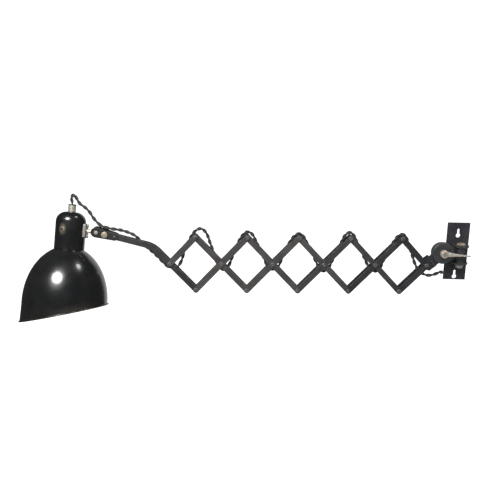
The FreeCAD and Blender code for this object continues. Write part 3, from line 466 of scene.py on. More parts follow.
# %% One maker for every finish
def finish(name, colour, gloss, metal=0.0, other=None, worn=None, amount=0.5, spot=None,
           spots_amount=0.3, grain_scale=900.0, bump=0.05, gloss_change=0.08, rubbed=None,
           coat=0.0):
    """A finish: a colour that drifts to another, worn edges, flecks, and a fine bump.

    `rubbed` is the colour where a mesh is marked as touched, and `coat` is a clear layer.
    """
    material = bpy.data.materials.new(name)
    material.use_nodes = True
    tree = material.node_tree
    place = add(tree, "TexCoord", {}).outputs["Object"]

    def use(group, **values):
        values["Vector"] = place
        return add(tree, "Group", values, node_tree=group, name=group.name).outputs

    surface = use(grain, Scale=grain_scale)
    tone = mixed(tree, surface["Broad"], colour, other or tuple(c * 1.25 for c in colour))
    gloss_mask = surface["Broad"]
    if rubbed:
        touched = add(tree, "Attribute", {}, attribute_name="rubbed").outputs["Fac"]
        tone = mixed(tree, touched, tone, rubbed)
        gloss_mask = maths(tree, "ADD", gloss_mask, maths(tree, "MULTIPLY", touched, 3.0))
    if spot:
        flecks = use(spots, Scale=420.0, Amount=spots_amount)
        tone = mixed(tree, flecks["Mask"], tone, spot)
    if worn:
        tone = mixed(tree, use(wear, Amount=amount)["Mask"], tone, worn)
    height = {"Strength": bump, "Distance": 0.0004, "Height": surface["Height"]}
    changed = maths(tree, "MULTIPLY", gloss_mask, gloss_change)
    fill(tree, tree.nodes["Principled BSDF"], {
        "Base Color": tone,
        "Roughness": maths(tree, "ADD", changed, gloss),
        "Metallic": metal,
        "Coat Weight": coat,
        "Coat Roughness": 0.09,
        "Normal": add(tree, "Bump", height).outputs["Normal"],
    })
    return material


print("finishes are made by", finish.__name__)

# %% [markdown]
# The enamel has a clear coat over it, because stoved enamel shines from its surface and
# looks black beneath. The arm's satin paint carries painted light and shade along it:
# lighter and warmer near the head, darker and cooler near the wall.

# %% Enamel and paints
enamel = finish("stoving_enamel", (0.005, 0.0056, 0.0061), 0.22, other=(0.008, 0.008, 0.0074),
                worn=(0.07, 0.055, 0.038), amount=0.3, spot=(0.035, 0.03, 0.024),
                spots_amount=0.02, grain_scale=240.0, bump=0.02, gloss_change=0.06,
                rubbed=(0.1, 0.082, 0.056), coat=0.5)
satin = dict(bump=0.12, gloss_change=0.12, spots_amount=0.3)
# The arm paint and its half-shaded and shaded copies paint light and shade along the arm.
arm_paint = finish("arm_paint", (0.034, 0.0325, 0.0322), 0.44, other=(0.047, 0.0445, 0.043),
                   worn=(0.1, 0.088, 0.078), amount=0.35, spot=(0.07, 0.06, 0.053),
                   spots_amount=0.35, bump=0.12, gloss_change=0.12)
shaded_arm_paint = finish("arm_paint_shaded", (0.0172, 0.0187, 0.0215), 0.42, other=(0.0245, 0.0255, 0.0275),
                    worn=(0.085, 0.08, 0.075), amount=0.35, spot=(0.055, 0.05, 0.048), **satin)
half_shaded_arm_paint = finish("arm_paint_half_shaded", (0.025, 0.0252, 0.0265), 0.43, other=(0.0355, 0.035, 0.0355),
                       worn=(0.095, 0.085, 0.077), amount=0.35, spot=(0.062, 0.055, 0.05), **satin)
dark_paint = finish("dark_arm_paint", (0.0195, 0.0195, 0.0205), 0.42, other=(0.027, 0.0265, 0.0265),
                    worn=(0.085, 0.075, 0.065), amount=0.4, spot=(0.055, 0.046, 0.038), **satin)
cheek_paint = finish("cheek_paint", (0.0125, 0.0125, 0.0132), 0.42, other=(0.0175, 0.017, 0.017),
                     worn=(0.085, 0.075, 0.065), amount=0.4, spot=(0.05, 0.042, 0.034), **satin)
joint_paint = finish("joint_paint", (0.0235, 0.0247, 0.0268), 0.38, other=(0.035, 0.0352, 0.0362),
                     worn=(0.1, 0.085, 0.065), amount=0.55, spot=(0.06, 0.048, 0.034),
                     spots_amount=0.3, bump=0.15, gloss_change=0.14)
plate_paint = finish("plate_paint", (0.0205, 0.0202, 0.025), 0.42, other=(0.029, 0.0288, 0.0335),
                     worn=(0.09, 0.078, 0.07), amount=0.45, spot=(0.055, 0.048, 0.045),
                     spots_amount=0.25, bump=0.14, gloss_change=0.12)
print(len(bpy.data.materials), "finishes so far")

# %% [markdown]
# Old plating isn't a mirror, so its Metallic is only about a half and its gloss changes
# from place to place. The rest are the black steel of the rivets, the white inside of
# the shade, and the bakelite and fibre of the small parts.

# %% Metals, lacquer, bakelite and fibre
blackened = finish("blackened_steel", (0.024, 0.023, 0.023), 0.45,
                   other=(0.036, 0.034, 0.033), worn=(0.1, 0.09, 0.085), amount=0.6,
                   spot=(0.08, 0.068, 0.062), bump=0.1)
nickel = finish("old_nickel", (0.4, 0.385, 0.36), 0.36, metal=0.55, other=(0.3, 0.275, 0.24),
                worn=(0.44, 0.4, 0.33), amount=0.5, spot=(0.16, 0.11, 0.07),
                spots_amount=0.45, bump=0.1, gloss_change=0.16, rubbed=(0.12, 0.075, 0.03))
bracket_nickel = finish("bracket_nickel", (0.2, 0.19, 0.175), 0.42, metal=0.5,
                        other=(0.15, 0.135, 0.115), worn=(0.4, 0.35, 0.28), amount=0.5,
                        spot=(0.09, 0.06, 0.04), spots_amount=0.4, bump=0.1)
bright_nickel = finish("bright_nickel", (0.62, 0.57, 0.51), 0.26, metal=0.6,
                       other=(0.52, 0.45, 0.38), worn=(0.55, 0.46, 0.34), amount=0.45,
                       spot=(0.26, 0.2, 0.14), spots_amount=0.25, bump=0.05, gloss_change=0.14)
brass = finish("tarnished_brass", (0.46, 0.41, 0.32), 0.34, metal=0.6, other=(0.46, 0.37, 0.26),
               worn=(0.6, 0.52, 0.38), amount=0.5, spot=(0.16, 0.11, 0.06),
               spots_amount=0.35, bump=0.08, gloss_change=0.15)
browned = finish("browned_nickel", (0.11, 0.1, 0.08), 0.45, metal=0.4, other=(0.16, 0.14, 0.11),
                 worn=(0.3, 0.26, 0.2), amount=0.5, spot=(0.05, 0.04, 0.03),
                 spots_amount=0.4, bump=0.1, gloss_change=0.15)
lacquer = finish("white_lacquer", (0.74, 0.73, 0.69), 0.35, other=(0.66, 0.64, 0.58), bump=0.04)
bakelite = finish("bakelite", (0.012, 0.011, 0.0105), 0.24, other=(0.02, 0.017, 0.015),
                  worn=(0.05, 0.04, 0.032), spot=(0.05, 0.045, 0.04), spots_amount=0.1)
fibre = finish("pressed_fibre", (0.07, 0.035, 0.018), 0.6, other=(0.1, 0.055, 0.03), bump=0.2)
print(len(bpy.data.materials), "finishes")

# %% [markdown]
# ## The twisted lead
#
# The real lead is two braided cores twisted round each other. Its route is one smooth
# spline through the air, over every top pivot and under every middle one. Each stretch
# between two pivots is a piece of its own that bends with the two bars it lies between.

# %% The lead's route
BIGHT = [(-779.5, 15.5, 106.2), (-774.0, 15.5, 114.2), (-768.5, 14.5, 107.2)]
HEAD_RUN = [
    (-762.9, 12.5, 96.0), (-750.9, 10.5, 88.4), (-742.1, 8.5, 79.9), (-733.8, 5.5, 66.0),
    (-719.3, 1.5, 52.6), (-699.0, 0.0, 47.6), (-682.0, 0.0, 45.8), (-667.0, 0.0, 41.4),
    (-653.0, 0.0, 35.4), (-641.5, 0.0, 23.5), (-630.4, 0.0, 11.2), (-616.5, 0.0, -0.5),
    (-604.9, 0.0, -12.6), (-594.3, 0.0, -24.8), (-583.2, 0.0, -33.0), (-568.5, 0.0, -30.0),
    (-560.0, 0.0, -16.0), (-556.0, 0.0, 2.0),
]
OVER_AND_UNDER = [
    [(-547.5, 21.0), (-538.5, 37.6), (-530.5, 47.0), (-519.5, 50.5), (-509.0, 39.5), (-503.5, 21.0)],
    [(-497.0, 3.5), (-492.0, -14.5), (-487.5, -30.5), (-477.0, -36.5), (-466.0, -28.5), (-460.5, -12.5)],
    [(-454.5, 4.5), (-447.0, 22.5), (-438.5, 37.0), (-429.5, 44.5), (-419.5, 40.5), (-413.0, 28.0)],
    [(-404.5, 9.5), (-395.5, -9.0), (-389.0, -26.5), (-376.5, -36.5), (-365.4, -29.0), (-360.2, -12.8)],
    [(-353.0, 4.5), (-344.6, 23.0), (-335.5, 35.8), (-325.5, 41.8), (-316.6, 35.5), (-309.5, 21.5)],
    [(-301.0, 5.0), (-292.2, -12.8), (-284.6, -29.2), (-274.0, -38.5), (-262.8, -29.6), (-257.6, -13.8)],
    [(-248.5, 4.0), (-241.0, 23.0), (-234.5, 38.5), (-224.6, 45.2), (-216.0, 38.0), (-209.8, 23.8)],
    [(-200.0, 6.5), (-191.5, -12.0), (-183.0, -28.5), (-170.5, -38.0), (-159.8, -30.6), (-155.0, -14.4)],
    [(-147.0, 3.0), (-138.8, 21.0), (-129.5, 36.2), (-120.0, 41.8), (-111.4, 35.6), (-106.4, 19.5)],
    [(-98.5, 2.0), (-92.0, -16.5), (-83.5, -33.0), (-69.5, -43.5), (-55.0, -44.5), (-43.0, -39.5)],
]
WALL_END = [(-34.5, -24.0, -39.5), (-28.5, -16.0, -42.5), (-27.5, -7.5, -43.5), (-27.5, -0.3, -43.6)]
weave = [(x, 0.0, z) for loop in OVER_AND_UNDER for x, z in loop]
route = np.vstack([
    on_head([(0, 0, 45.0), (0, 0, 55.5)]),
    on_arm(BIGHT + HEAD_RUN + weave),
    on_wall(WALL_END),
])
spline_data = bpy.data.curves.new("lead_line", "CURVE")
spline_data.dimensions = "3D"
spline_data.resolution_u = 24
line = spline_data.splines.new("NURBS")
line.points.add(len(route) - 1)
line.points.foreach_set("co", np.c_[route, np.ones(len(route))].ravel())
line.order_u = 3
line.use_endpoint_u = True
line_object = bpy.data.objects.new("lead_line", spline_data)
sampled = bpy.data.meshes.new_from_object(line_object)
path = np.zeros(len(sampled.vertices) * 3)
sampled.vertices.foreach_get("co", path)
path = path.reshape(-1, 3)
bpy.data.objects.remove(line_object)
print("lead", round(float(np.linalg.norm(np.diff(path, axis=0), axis=1).sum()) * 1000), "mm")

# %% [markdown]
# Each core is a thin tube that winds round the route like a screw thread. A frame that
# never twists is carried along the route, so the winding is even on every bend. The
# braid is drawn by the material from the tube's own map: round the core and along it.

# %% Two twisted cores
LAY = 27.0
CORE_R = 1.8
TWIST_R = 1.75
SIDES = 10


def even_path(points, step):
    """The path resampled at even distances, by its length from the start."""
    run = np.r_[0, np.cumsum(np.linalg.norm(np.diff(points, axis=0), axis=1))]
    s = np.linspace(0, run[-1], max(int(run[-1] / step), 2) + 1)
    return np.stack([np.interp(s, run, points[:, k]) for k in range(3)], -1), s


def steady_frame(points):
    """Tangent t and a normal that turns as little as possible from point to point.

    Each normal is the one before it, less its part along t, so it is found in order.
    """
    t = np.gradient(points, axis=0)
    t /= np.linalg.norm(t, axis=1, keepdims=True)
    normals = np.zeros_like(t)
    normal = np.cross(t[0], [0.0, 0.0, 1.0]) + [0.0, 1e-6, 0.0]
    for k in range(len(t)):
        normal = normal - t[k] * (normal @ t[k])
        normal /= np.linalg.norm(normal)
        normals[k] = normal
    return t, normals, np.cross(t, normals)


def tube(points, lengths, radius, sides=SIDES):
    """A round tube along points, with a map of turns round it and metres along it."""
    t, n, b = steady_frame(points)
    a = np.linspace(0, 2 * math.pi, sides, endpoint=False)
    ring = n[:, None] * np.cos(a)[:, None] + b[:, None] * np.sin(a)[:, None]
    surface = points[:, None] + ring * radius
    i, j = np.meshgrid(np.arange(len(points) - 1), np.arange(sides), indexing="ij")
    i, j = i.ravel(), j.ravel()
    j2 = (j + 1) % sides
    quads = np.stack([i * sides + j, i * sides + j2, (i + 1) * sides + j2, (i + 1) * sides + j], -1)
    u = np.stack([j, j + 1, j + 1, j], -1) / sides
    v = np.stack([lengths[i], lengths[i], lengths[i + 1], lengths[i + 1]], -1)
    ends = [list(range(sides)), list(range((len(points) - 1) * sides, len(points) * sides))]
    return surface.reshape(-1, 3), quads.tolist(), np.stack([u, v], -1).reshape(-1, 2), ends


centre, run = even_path(path, 0.0008)
tangent, normal, binormal = steady_frame(centre)
phase = 2 * math.pi * run / (LAY / 1000) + 0.9 * np.sin(run / 0.031) + 0.7 * np.sin(run / 0.083)
swing_out = normal * np.cos(phase)[:, None] + binormal * np.sin(phase)[:, None]
# Both the cores and their twist are slimmer where they leave the nipple's bore.
opening = 0.72 + 0.28 * np.clip((run - 0.006) / 0.012, 0, 1)
cores = [centre + sign * swing_out * opening[:, None] * TWIST_R / 1000 for sign in (1, -1)]
print("lead sampled at", len(centre), "places")

# %% [markdown]
# The braid is two sets of slanting ridges, one sine wave each way, and the higher of the
# two lies on top. The same value raises the threads and paints shade into the gaps.

# %% Braided covering
STRANDS = 6
PLAIT = 0.0011
braid = bpy.data.materials.new("black_braid")
braid.use_nodes = True
tree = braid.node_tree
mapped = add(tree, "UVMap", {}, uv_map="braid").outputs["UV"]
parted = add(tree, "SeparateXYZ", {0: mapped}).outputs
round_turns = maths(tree, "MULTIPLY", parted["X"], STRANDS * 2 * math.pi)
along_turns = maths(tree, "MULTIPLY", parted["Y"], 2 * math.pi / PLAIT)
one_way = maths(tree, "SINE", maths(tree, "ADD", round_turns, along_turns), 0.0)
other_way = maths(tree, "SINE", maths(tree, "SUBTRACT", round_turns, along_turns), 0.0)
plait = maths(tree, "MAXIMUM", one_way, other_way)
# Painted shade: the colour is darker down in the gaps between the threads.
lit = steps_between(tree, plait, -0.2, 1.0)
height = {"Strength": 0.6, "Distance": 0.00025, "Height": plait}
fill(tree, tree.nodes["Principled BSDF"], {
    "Base Color": mixed(tree, lit, (0.0045, 0.0045, 0.005), (0.017, 0.0165, 0.0165)),
    "Roughness": 0.72,
    "Sheen Weight": 0.25,
    "Sheen Roughness": 0.5,
    "Normal": add(tree, "Bump", height).outputs["Normal"],
})
print(braid.name, STRANDS, "strands round,", PLAIT * 1000, "mm along")

# %% [markdown]
# Each stretch is pinned between two bodies. It follows the first at one end and the next
# at its other end, and bends smoothly between, as a soft lead does over a pivot.

# %% Divide the lead between the bars it lies along
stretches = [("lead_at_nipple", "head", "ball"), ("lead_at_ball", "ball", "head_arm"),
             ("lead_under_middle_0", "head_arm", "rising_0")]
ends = [0, 5, 12, 21]
for i in range(1, 6):
    right = "rising_%d" % i if i < 5 else "tilt"
    stretches.append(("lead_over_top_%d" % i, "rising_%d" % (i - 1), "falling_%d" % i))
    stretches.append(("lead_under_middle_%d" % i, "falling_%d" % i, right))
    ends += [ends[-1] + 6, ends[-1] + 12]
ends[-1] -= 2
stretches += [("lead_past_tilt", "tilt", "swivel"), ("lead_to_wall", "swivel", "wall_mount")]
ends += [ends[-1] + 3, len(route) - 2]


def nearest(run_number):
    """The sample at the middle of a run of the route, or at either end of the lead."""
    if run_number in (0, len(route) - 2):
        return 0 if run_number == 0 else len(centre) - 1
    spot = (route[run_number] + route[run_number + 1]) / 2
    return int(np.argmin(np.linalg.norm(centre - spot, axis=1)))


BEND_FROM, BEND_TO = 0.2, 0.8


def lead_piece(name, first, last, body_a, body_b):
    """Both cores between two samples, bending from one body to the next."""
    thin = CORE_R / 1000 * opening[first:last + 1, None, None]
    made = [tube(core[first:last + 1], run[first:last + 1], thin) for core in cores]
    shift = len(made[0][0])
    faces = made[0][1] + [[i + shift for i in f] for f in made[1][1]]
    caps = made[0][3] + [[i + shift for i in f] for f in made[1][3]]
    mesh = bpy.data.meshes.new(name + "_cores")
    mesh.from_pydata(np.vstack([made[0][0], made[1][0]]).tolist(), [], faces + caps)
    uv = np.vstack([made[0][2], made[1][2], np.zeros((sum(len(c) for c in caps), 2))])
    mesh.uv_layers.new(name="braid").data.foreach_set("uv", uv.astype(np.float32).ravel())
    reworked(mesh, facing_out)
    mesh.shade_smooth()
    mesh.materials.append(braid)
    obj = in_scene(name + "_cores", mesh)
    a, b = centre[first], centre[last]
    start, end = a + (b - a) * BEND_FROM, a + (b - a) * BEND_TO
    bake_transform(obj, body_a, body_b, start=tuple(start), end=tuple(end))
    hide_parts(name)
    return obj


for (name, body_a, body_b), first, last in zip(stretches, ends, ends[1:]):
    lead_piece(name, nearest(first), nearest(last), body_a, body_b)
print(len(stretches), "stretches of lead")

# %% [markdown]
# ## The scissor arm
#
# Lazy tongs: each bar crosses its neighbour at the middle, so the whole arm reaches out
# when one crossing opens. Every bar is a pair of flat steel strips with round ends, cut
# with shears and filed, so the arrises are soft. The rising pair lies outside the falling
# pair. Since the rivets' heads cover the holes, the strips need none.

# %% Bars
HALF_WIDTH = 5.75
SPRUNG = 0.12
OUTER = (6.2, 8.2)
INNER = (4.0, 6.0)


def flat(point):
    return np.array([point[0], point[2]])


def pair(outline, depth):
    """A front and a rear strip of one outline."""
    return [strip(outline, -depth[1], -depth[0]), strip(outline, depth[0], depth[1])]


def bar(a, b):
    """A slightly sprung strip: the path from a to b, never quite straight."""
    t = np.linspace(0, 1, 9)[:, None]
    side = np.array([-(b - a)[2], (b - a)[0]]) / np.linalg.norm(b - a)
    sprung = SPRUNG * np.sin(2 * math.pi * t) * side
    return ribbon(flat(a) + t * (flat(b) - flat(a)) + sprung, HALF_WIDTH)


# Painted light along the arm: the bars are lighter and warmer near the head, darker toward the wall.
light_along_the_arm = [arm_paint, arm_paint, arm_paint, half_shaded_arm_paint, shaded_arm_paint]
for i in range(5):
    start = low[i - 1] if i else middle[0]
    piece("rising_bars_%d" % i, pair(bar(start, top[i]), OUTER), light_along_the_arm[i])
for i in range(1, 6):
    finish_point = low[i] if i < 5 else LAST_PIVOT
    piece("falling_bars_%d" % i, pair(bar(top[i - 1], finish_point), INNER), light_along_the_arm[i - 1])

# %% [markdown]
# The last bar of the falling pair is longer. It goes on past its top, bends, and reaches
# the ball, so it is one strip along two straight legs with a curve between.

# %% The head arm
BEND_R = 46.0
half_bend = math.radians(ARM_BEND) / 2
set_back = BEND_R * math.tan(half_bend)
bend_in = flat(corner - falling * set_back)
bend_out = flat(corner + along_arm * set_back)
d_in, d_out = flat(falling), flat(along_arm)
sweep = np.linspace(0, 1, 10)[:, None]
bend = (1 - sweep) ** 2 * bend_in + 2 * sweep * (1 - sweep) * flat(corner) + sweep ** 2 * bend_out
first_leg = flat(low[0]) + np.linspace(0, 1, 12)[:-1, None] * (bend_in - flat(low[0]))
last_leg = bend_out + np.linspace(0, 1, 12)[1:, None] * (flat(BALL - along_arm * 16.0) - bend_out)
head_arm_path = np.vstack([first_leg, bend, last_leg])
piece("head_arm", pair(ribbon(head_arm_path, HALF_WIDTH), INNER), dark_paint)

# %% [markdown]
# ## Rivets
#
# A rivet is one turned piece: two low heads, each with the dimple that the setting punch
# leaves, and a shoulder that keeps the inner strips apart. The last bars have hollow
# rivets, and the two on the neck were painted over with it.

# %% Pivot rivets
def rivet(place, head=4.6, outer=8.2, shoulder=4.2, height=1.7, dimple=0.72, ease=0.25):
    """A shouldered rivet through the arm at a pivot, from front head to rear head."""
    half = [
        (0.0, outer + height * dimple), (head * 0.3, outer + height * (dimple + 0.04)),
        (head * 0.42, outer + height), (head * 0.8, outer + height * 0.62),
        (head, outer + 0.25), (head, outer), (2.5, outer), (2.5, 3.9), (shoulder, 3.9),
    ]
    outline = [(r, h) for r, h in half] + [(r, -h) for r, h in half[::-1]]
    return turned(outline, place, (0, -1, 0), ease=ease, around=36)


def rising_pivots(i):
    found = [middle[i]]
    found += [low[i - 1]] if i else []
    found += [top[i]] if i < 5 else []
    return found


NECK_RIVETS = [(12.6, -7.0), (12.9, 0.5)]
neck_along = (TILT_AXIS - LAST_PIVOT) / np.linalg.norm(TILT_AXIS - LAST_PIVOT)
neck_across = np.array([-neck_along[2], 0, neck_along[0]])
for i in range(6):
    rivets = [rivet(place, dimple=0.1 if i == 5 else 0.62) for place in rising_pivots(i)]
    second = None
    if i == 5:
        second = (joint_paint, sum(len(r[1]) for r in rivets))
        places = [LAST_PIVOT + neck_along * s + neck_across * t for s, t in NECK_RIVETS]
        rivets += [rivet(p, head=3.7, height=1.2, shoulder=2.6, ease=0) for p in places]
    piece("pivot_rivets_%d" % i, rivets, blackened, second=second)

# %% [markdown]
# ## The head
#
# The shade was spun from sheet steel on a lathe and its mouth cut on a slant, then
# turned over into a bead. Its outline is a short flange, a quarter of an ellipse and a
# straight skirt, whose length changes round the lamp. It is one closed surface: outside,
# round the bead, and back up the inside, a wall's thickness in.

# %% Shade
SHADE_R = 81.0
WALL = 1.0
HOLE_R = 19.6
SHOULDER_R = 29.5
FLANGE = -39.0
DOME = 104.6
SKIRT = 20.3
SLANT = 14.6
BEAD_R = 1.45
FLARE = 1.0
TURNED_DOWN = 0.9


def shade_surface(around=192):
    """The shade as a closed surface on a grid of angle and place along the outline.

    Outside, the ellipse is r = R cos q, z = spring + H sin q; the skirt is r = R + flare
    t^2, from the spring (t = 0) down to z = rim + tan(slant) R cos a (t = 1); the bead is
    a circle swept round the mouth; inside, the same a wall smaller. Shallow dents move
    both skins.
    """
    a = np.linspace(0, 2 * math.pi, around, endpoint=False)[None, :]
    spring = FLANGE - DOME
    mouth = spring - SKIRT - TURNED_DOWN + math.tan(math.radians(SLANT)) * SHADE_R * np.cos(a)

    def skin(inset, down):
        radius = SHADE_R - inset
        height = DOME / math.sqrt(1 - (SHOULDER_R / SHADE_R) ** 2) - inset
        q0 = math.asin((DOME - inset) / height)
        q = np.linspace(q0, 0, 56)[:, None]
        r = [np.linspace(HOLE_R, radius * math.cos(q0), 5)[:-1, None] + 0 * a]
        z = [np.full((4, 1), FLANGE - inset) + 0 * a]
        r.append(radius * np.cos(q) + 0 * a)
        z.append(spring + height * np.sin(q) + 0 * a)
        t = np.linspace(0, 1, 13)[1:, None]
        r.append(radius + FLARE * t ** 2 + 0 * a)
        z.append(spring + t * (mouth + down - spring))
        return np.vstack(r), np.vstack(z)

    outer_r, outer_z = skin(0.0, 2 * BEAD_R)
    inner_r, inner_z = skin(WALL, BEAD_R)
    w = np.linspace(0.62 * math.pi, -0.9 * math.pi, 12)[:, None]
    bead_r = SHADE_R + FLARE + 0.35 + BEAD_R * np.cos(w) + 0 * a
    bead_z = mouth + BEAD_R + BEAD_R * np.sin(w)
    r = np.vstack([outer_r, bead_r, inner_r[::-1]])
    z = np.vstack([outer_z, bead_z, inner_z[::-1]])
    dents = [(-1.2, -118.0, 0.22, 26.0), (-2.2, -88.0, -0.16, 20.0), (0.6, -130.0, 0.2, 30.0),
             (2.4, -110.0, -0.2, 24.0), (-0.2, -96.0, 0.16, 18.0), (-2.9, -140.0, 0.2, 22.0)]
    for angle, level, depth, size in dents:
        across = np.angle(np.exp(1j * (a - angle))) * SHADE_R
        r = r - depth * np.exp(-(across ** 2 + (z - level) ** 2) / size ** 2) * (z < FLANGE - 12)
    points = np.stack([r * np.cos(a), r * np.sin(a), z], -1).reshape(-1, 3)
    mark = np.zeros_like(r)
    mark[len(outer_r) - 1:len(outer_r) + 12] = 0.8
    mark[len(outer_r):len(outer_r) + 8] = 1.0
    inner_face = (len(outer_r) + 13) * around
    return (points, grid_faces(len(r), around, closed_rows=True), mark.ravel()), inner_face


surface, inner_face = shade_surface()
print("shade", len(surface[0]), "points, inside from face", inner_face)


# %% [markdown]
# Hands and knocks mark the enamel, so a value on each point says how much. An image could
# hold such marks, but a formula has no seams and needs no file.

# %% The shade's marks
def shade_touched(points):
    """Where hands and knocks have dulled the shade: one chip, and patches by the mouth."""
    x, y, z = points.T
    angle = np.degrees(np.arctan2(y, x))
    chip = np.exp(-(((angle + 15.8) * 1.2 / 2.6) ** 2 + ((z + 80.7) / 3.4) ** 2))
    above_mouth = z - (FLANGE - DOME - SKIRT + math.tan(math.radians(SLANT)) * x)
    patch = 0.1 * np.exp(-((above_mouth - 4) / 9) ** 2) * np.exp(-((angle + 62) / 30) ** 2)
    return np.clip(chip + patch, 0, 1)


piece("shade", [surface], enamel, on_head, 60, shade_touched, (lacquer, inner_face))

# %% [markdown]
# The housing is a deep drawn cap over the lampholder, with three faint rolled lines near
# its foot. The nipple on its crown is turned from bar and holds the dark bush that the
# lead comes out of.

# %% Housing
def arc(centre, radius, start, end, steps):
    """Points on a circle (r, h) from one angle to another, in degrees."""
    q = np.radians(np.linspace(start, end, steps))
    return [(centre[0] + radius * math.cos(v), centre[1] + radius * math.sin(v)) for v in q]


COVER_R = 29.0
CROWN_R = 20.0
BORE_R = 5.02
TOP = 36.0
SWITCH_ANGLE = math.radians(-104.8)
outside = [(28.3, FLANGE), (28.75, FLANGE), (COVER_R, FLANGE + 0.4)]
for level in (4.6, 8.8, 12.8):
    line_at = FLANGE + level
    outside += [(COVER_R, line_at - 0.7), (COVER_R - 0.16, line_at), (COVER_R, line_at + 0.7)]
crown = (COVER_R - CROWN_R, TOP - CROWN_R)
outside += [(COVER_R, 0.0), (COVER_R, TOP - CROWN_R)] + arc(crown, CROWN_R, 4, 90, 20)
inside = arc(crown, 19.2, 90, 0, 20) + [(28.2, 0.0), (28.2, FLANGE + 0.2)]
bore = [(BORE_R, TOP), (BORE_R, TOP - 0.8)]


def cover_points(outline, around=160, rows=90):
    """The turned cover, with extra rings on its straight wall, so that marks can sit there."""
    p = np.asarray(outline, float)
    gap = np.linalg.norm(np.diff(p, axis=0), axis=1)
    run_length = np.r_[0, np.cumsum(gap)]
    extra = np.arange(0, run_length[-1], run_length[-1] / rows)
    s_all = np.unique(np.round(np.concatenate([run_length, extra]), 4))
    fine_outline = np.stack([np.interp(s_all, run_length, p[:, k]) for k in (0, 1)], -1)
    return turned(fine_outline, ease=0, around=around, closed=True)


def cover_touched(points):
    """The oval round the switch, where fingers have rubbed the enamel brown."""
    x, y, z = points.T
    across = (np.arctan2(y, x) - SWITCH_ANGLE) * COVER_R
    oval = np.exp(-((across / 6.0) ** 2 + ((z - 1.0) / 9.5) ** 2) ** 1.6)
    return 0.9 * oval * (np.hypot(x, y) > 28.5)


cover = cover_points(outside + bore + inside)
piece("housing_cover", [cover], enamel, on_head, 35, cover_touched)

# %% [markdown]
# The nipple has a groove and a flange, and the bush is a ring with a round lip. Both have
# a bore, so each outline closes on itself instead of ending on the axis.

# %% Nipple and bush
nipple = [(3.3, 18.0), (5.0, 18.0), (5.0, 36.0), (7.0, 36.0), (7.5, 36.6), (7.5, 39.2), (7.2, 39.6)]
nipple += [(7.2, 40.4), (7.5, 40.8), (7.5, 48.3), (6.9, 49.0), (3.3, 49.0)]
piece("cord_nipple", [turned(nipple, ease=0.15, around=64, closed=True)], nickel, on_head)
bush = [(3.3, 49.0), (7.5, 49.0), (7.8, 49.4), (7.7, 50.3), (6.6, 51.2), (4.4, 51.5), (3.4, 51.1)]
piece("nipple_collar", [turned(bush, ease=0.2, around=64, closed=True)], bakelite, on_head)

# %% [markdown]
# The ball's stem is one turned piece, screwed through a bracket into the housing's side.
# Its outline ends in most of a circle, so the ball and the stem are one smooth skin.

# %% Ball and stem
stem = [(0, 29.0), (3.0, 29.0), (3.0, 32.0), (5.2, 32.0), (5.2, 33.0), (4.4, 34.2), (3.6, 44.2)]
BALL_R = 7.5
ball = arc((0.0, BALL_OUT), BALL_R, -62, 90, 22)
piece("ball_stem", [turned(stem + ball, (0, 0, 0), (1, 0, 0), ease=0.2, around=56)],
      bright_nickel, on_head, sharp=30)
screw = [(0, 26.7), (2.0, 26.7), (2.0, 32.0), (3.8, 32.0), (3.8, 33.2)]
screw += [(3.3, 34.6), (1.9, 35.4), (0, 35.6)]
SCREW_LEVELS = (10.5, -10.5)
screws = [turned(screw, (0, 0, level), (1, 0, 0), 0.3, 40) for level in SCREW_LEVELS]
piece("bracket_screws", screws, nickel, on_head)

# %% [markdown]
# ## The clamp lever
#
# A nickelled forging: a round eye on the tilt bolt and a tapered arm that ends in a thin
# tip. The eye is turned, and the arm is a row of ellipses that runs into it.

# %% Clamp lever
droop = math.radians(3.8)
lever_along = np.array([math.cos(droop), 0, -math.sin(droop)])
eye = [(4.06, 10.6), (7.4, 10.6), (8.0, 11.2), (8.0, 18.6), (7.2, 20.0), (5.4, 20.6), (4.06, 20.6)]
lever_root = TILT_AXIS - np.array([0, 18.0, 0])
lever_across = np.array([math.sin(droop), 0, math.cos(droop)])


def blade(sections, around=28):
    """A flattened taper: root + s along + h(s) sin a across + d(s) cos a forwards."""
    s, h, d = np.array(sections, float).T
    fine_s = np.linspace(s[0], s[-1], 60)
    h, d = np.interp(fine_s, s, h)[:, None], np.interp(fine_s, s, d)[:, None]
    a = np.linspace(0, 2 * math.pi, around, endpoint=False)[None, :]
    spine = lever_root + fine_s[:, None, None] * lever_along
    points = spine + (h * np.sin(a))[..., None] * lever_across
    points = points - (d * np.cos(a))[..., None] * np.array([0, 1.0, 0])
    caps = [list(range(around)), list(range(59 * around, 60 * around))]
    return points.reshape(-1, 3), grid_faces(60, around) + caps, np.zeros(60 * around)


lever_parts = [
    turned(eye, TILT_AXIS, (0, -1, 0), ease=0.5, around=56, closed=True),
    blade([(5.4, 4.4, 2.3), (9, 4.6, 2.4), (13, 4.2, 2.35), (18, 3.5, 2.2), (23, 2.95, 2.0),
           (30, 2.4, 1.85), (36, 2.0, 1.7), (42, 1.7, 1.6), (46.5, 1.55, 1.5), (49, 1.75, 1.6),
           (50.6, 1.4, 1.3), (51.5, 0.4, 0.4)]),
]
piece("clamp_lever", lever_parts, bright_nickel)

# %% [markdown]
# The pin that the arm swings on has a wide forged head, brown on its left side and
# bright past its middle.

# %% Hinge pin
PIN_FOOT, PIN_SEAT = -28.3, 18.8
pin = [(0, PIN_FOOT), (4.0, PIN_FOOT), (4.0, PIN_SEAT), (8.3, PIN_SEAT), (8.7, PIN_SEAT + 0.6),
       (8.6, PIN_SEAT + 2.2), (7.6, PIN_SEAT + 3.4), (5.6, PIN_SEAT + 4.4), (2.8, PIN_SEAT + 5.0),
       (0, PIN_SEAT + 5.2)]


def pin_browned(points):
    """Brown on the left of the head, fading to bright past its middle."""
    return np.clip(0.5 - points[:, 0] / 3.0, 0, 1) * (points[:, 2] > PIN_SEAT)


piece("hinge_pin", [turned(pin, (0, -PIN_OFF_WALL, 0), ease=0.3)], nickel, on_wall, 30, pin_browned)

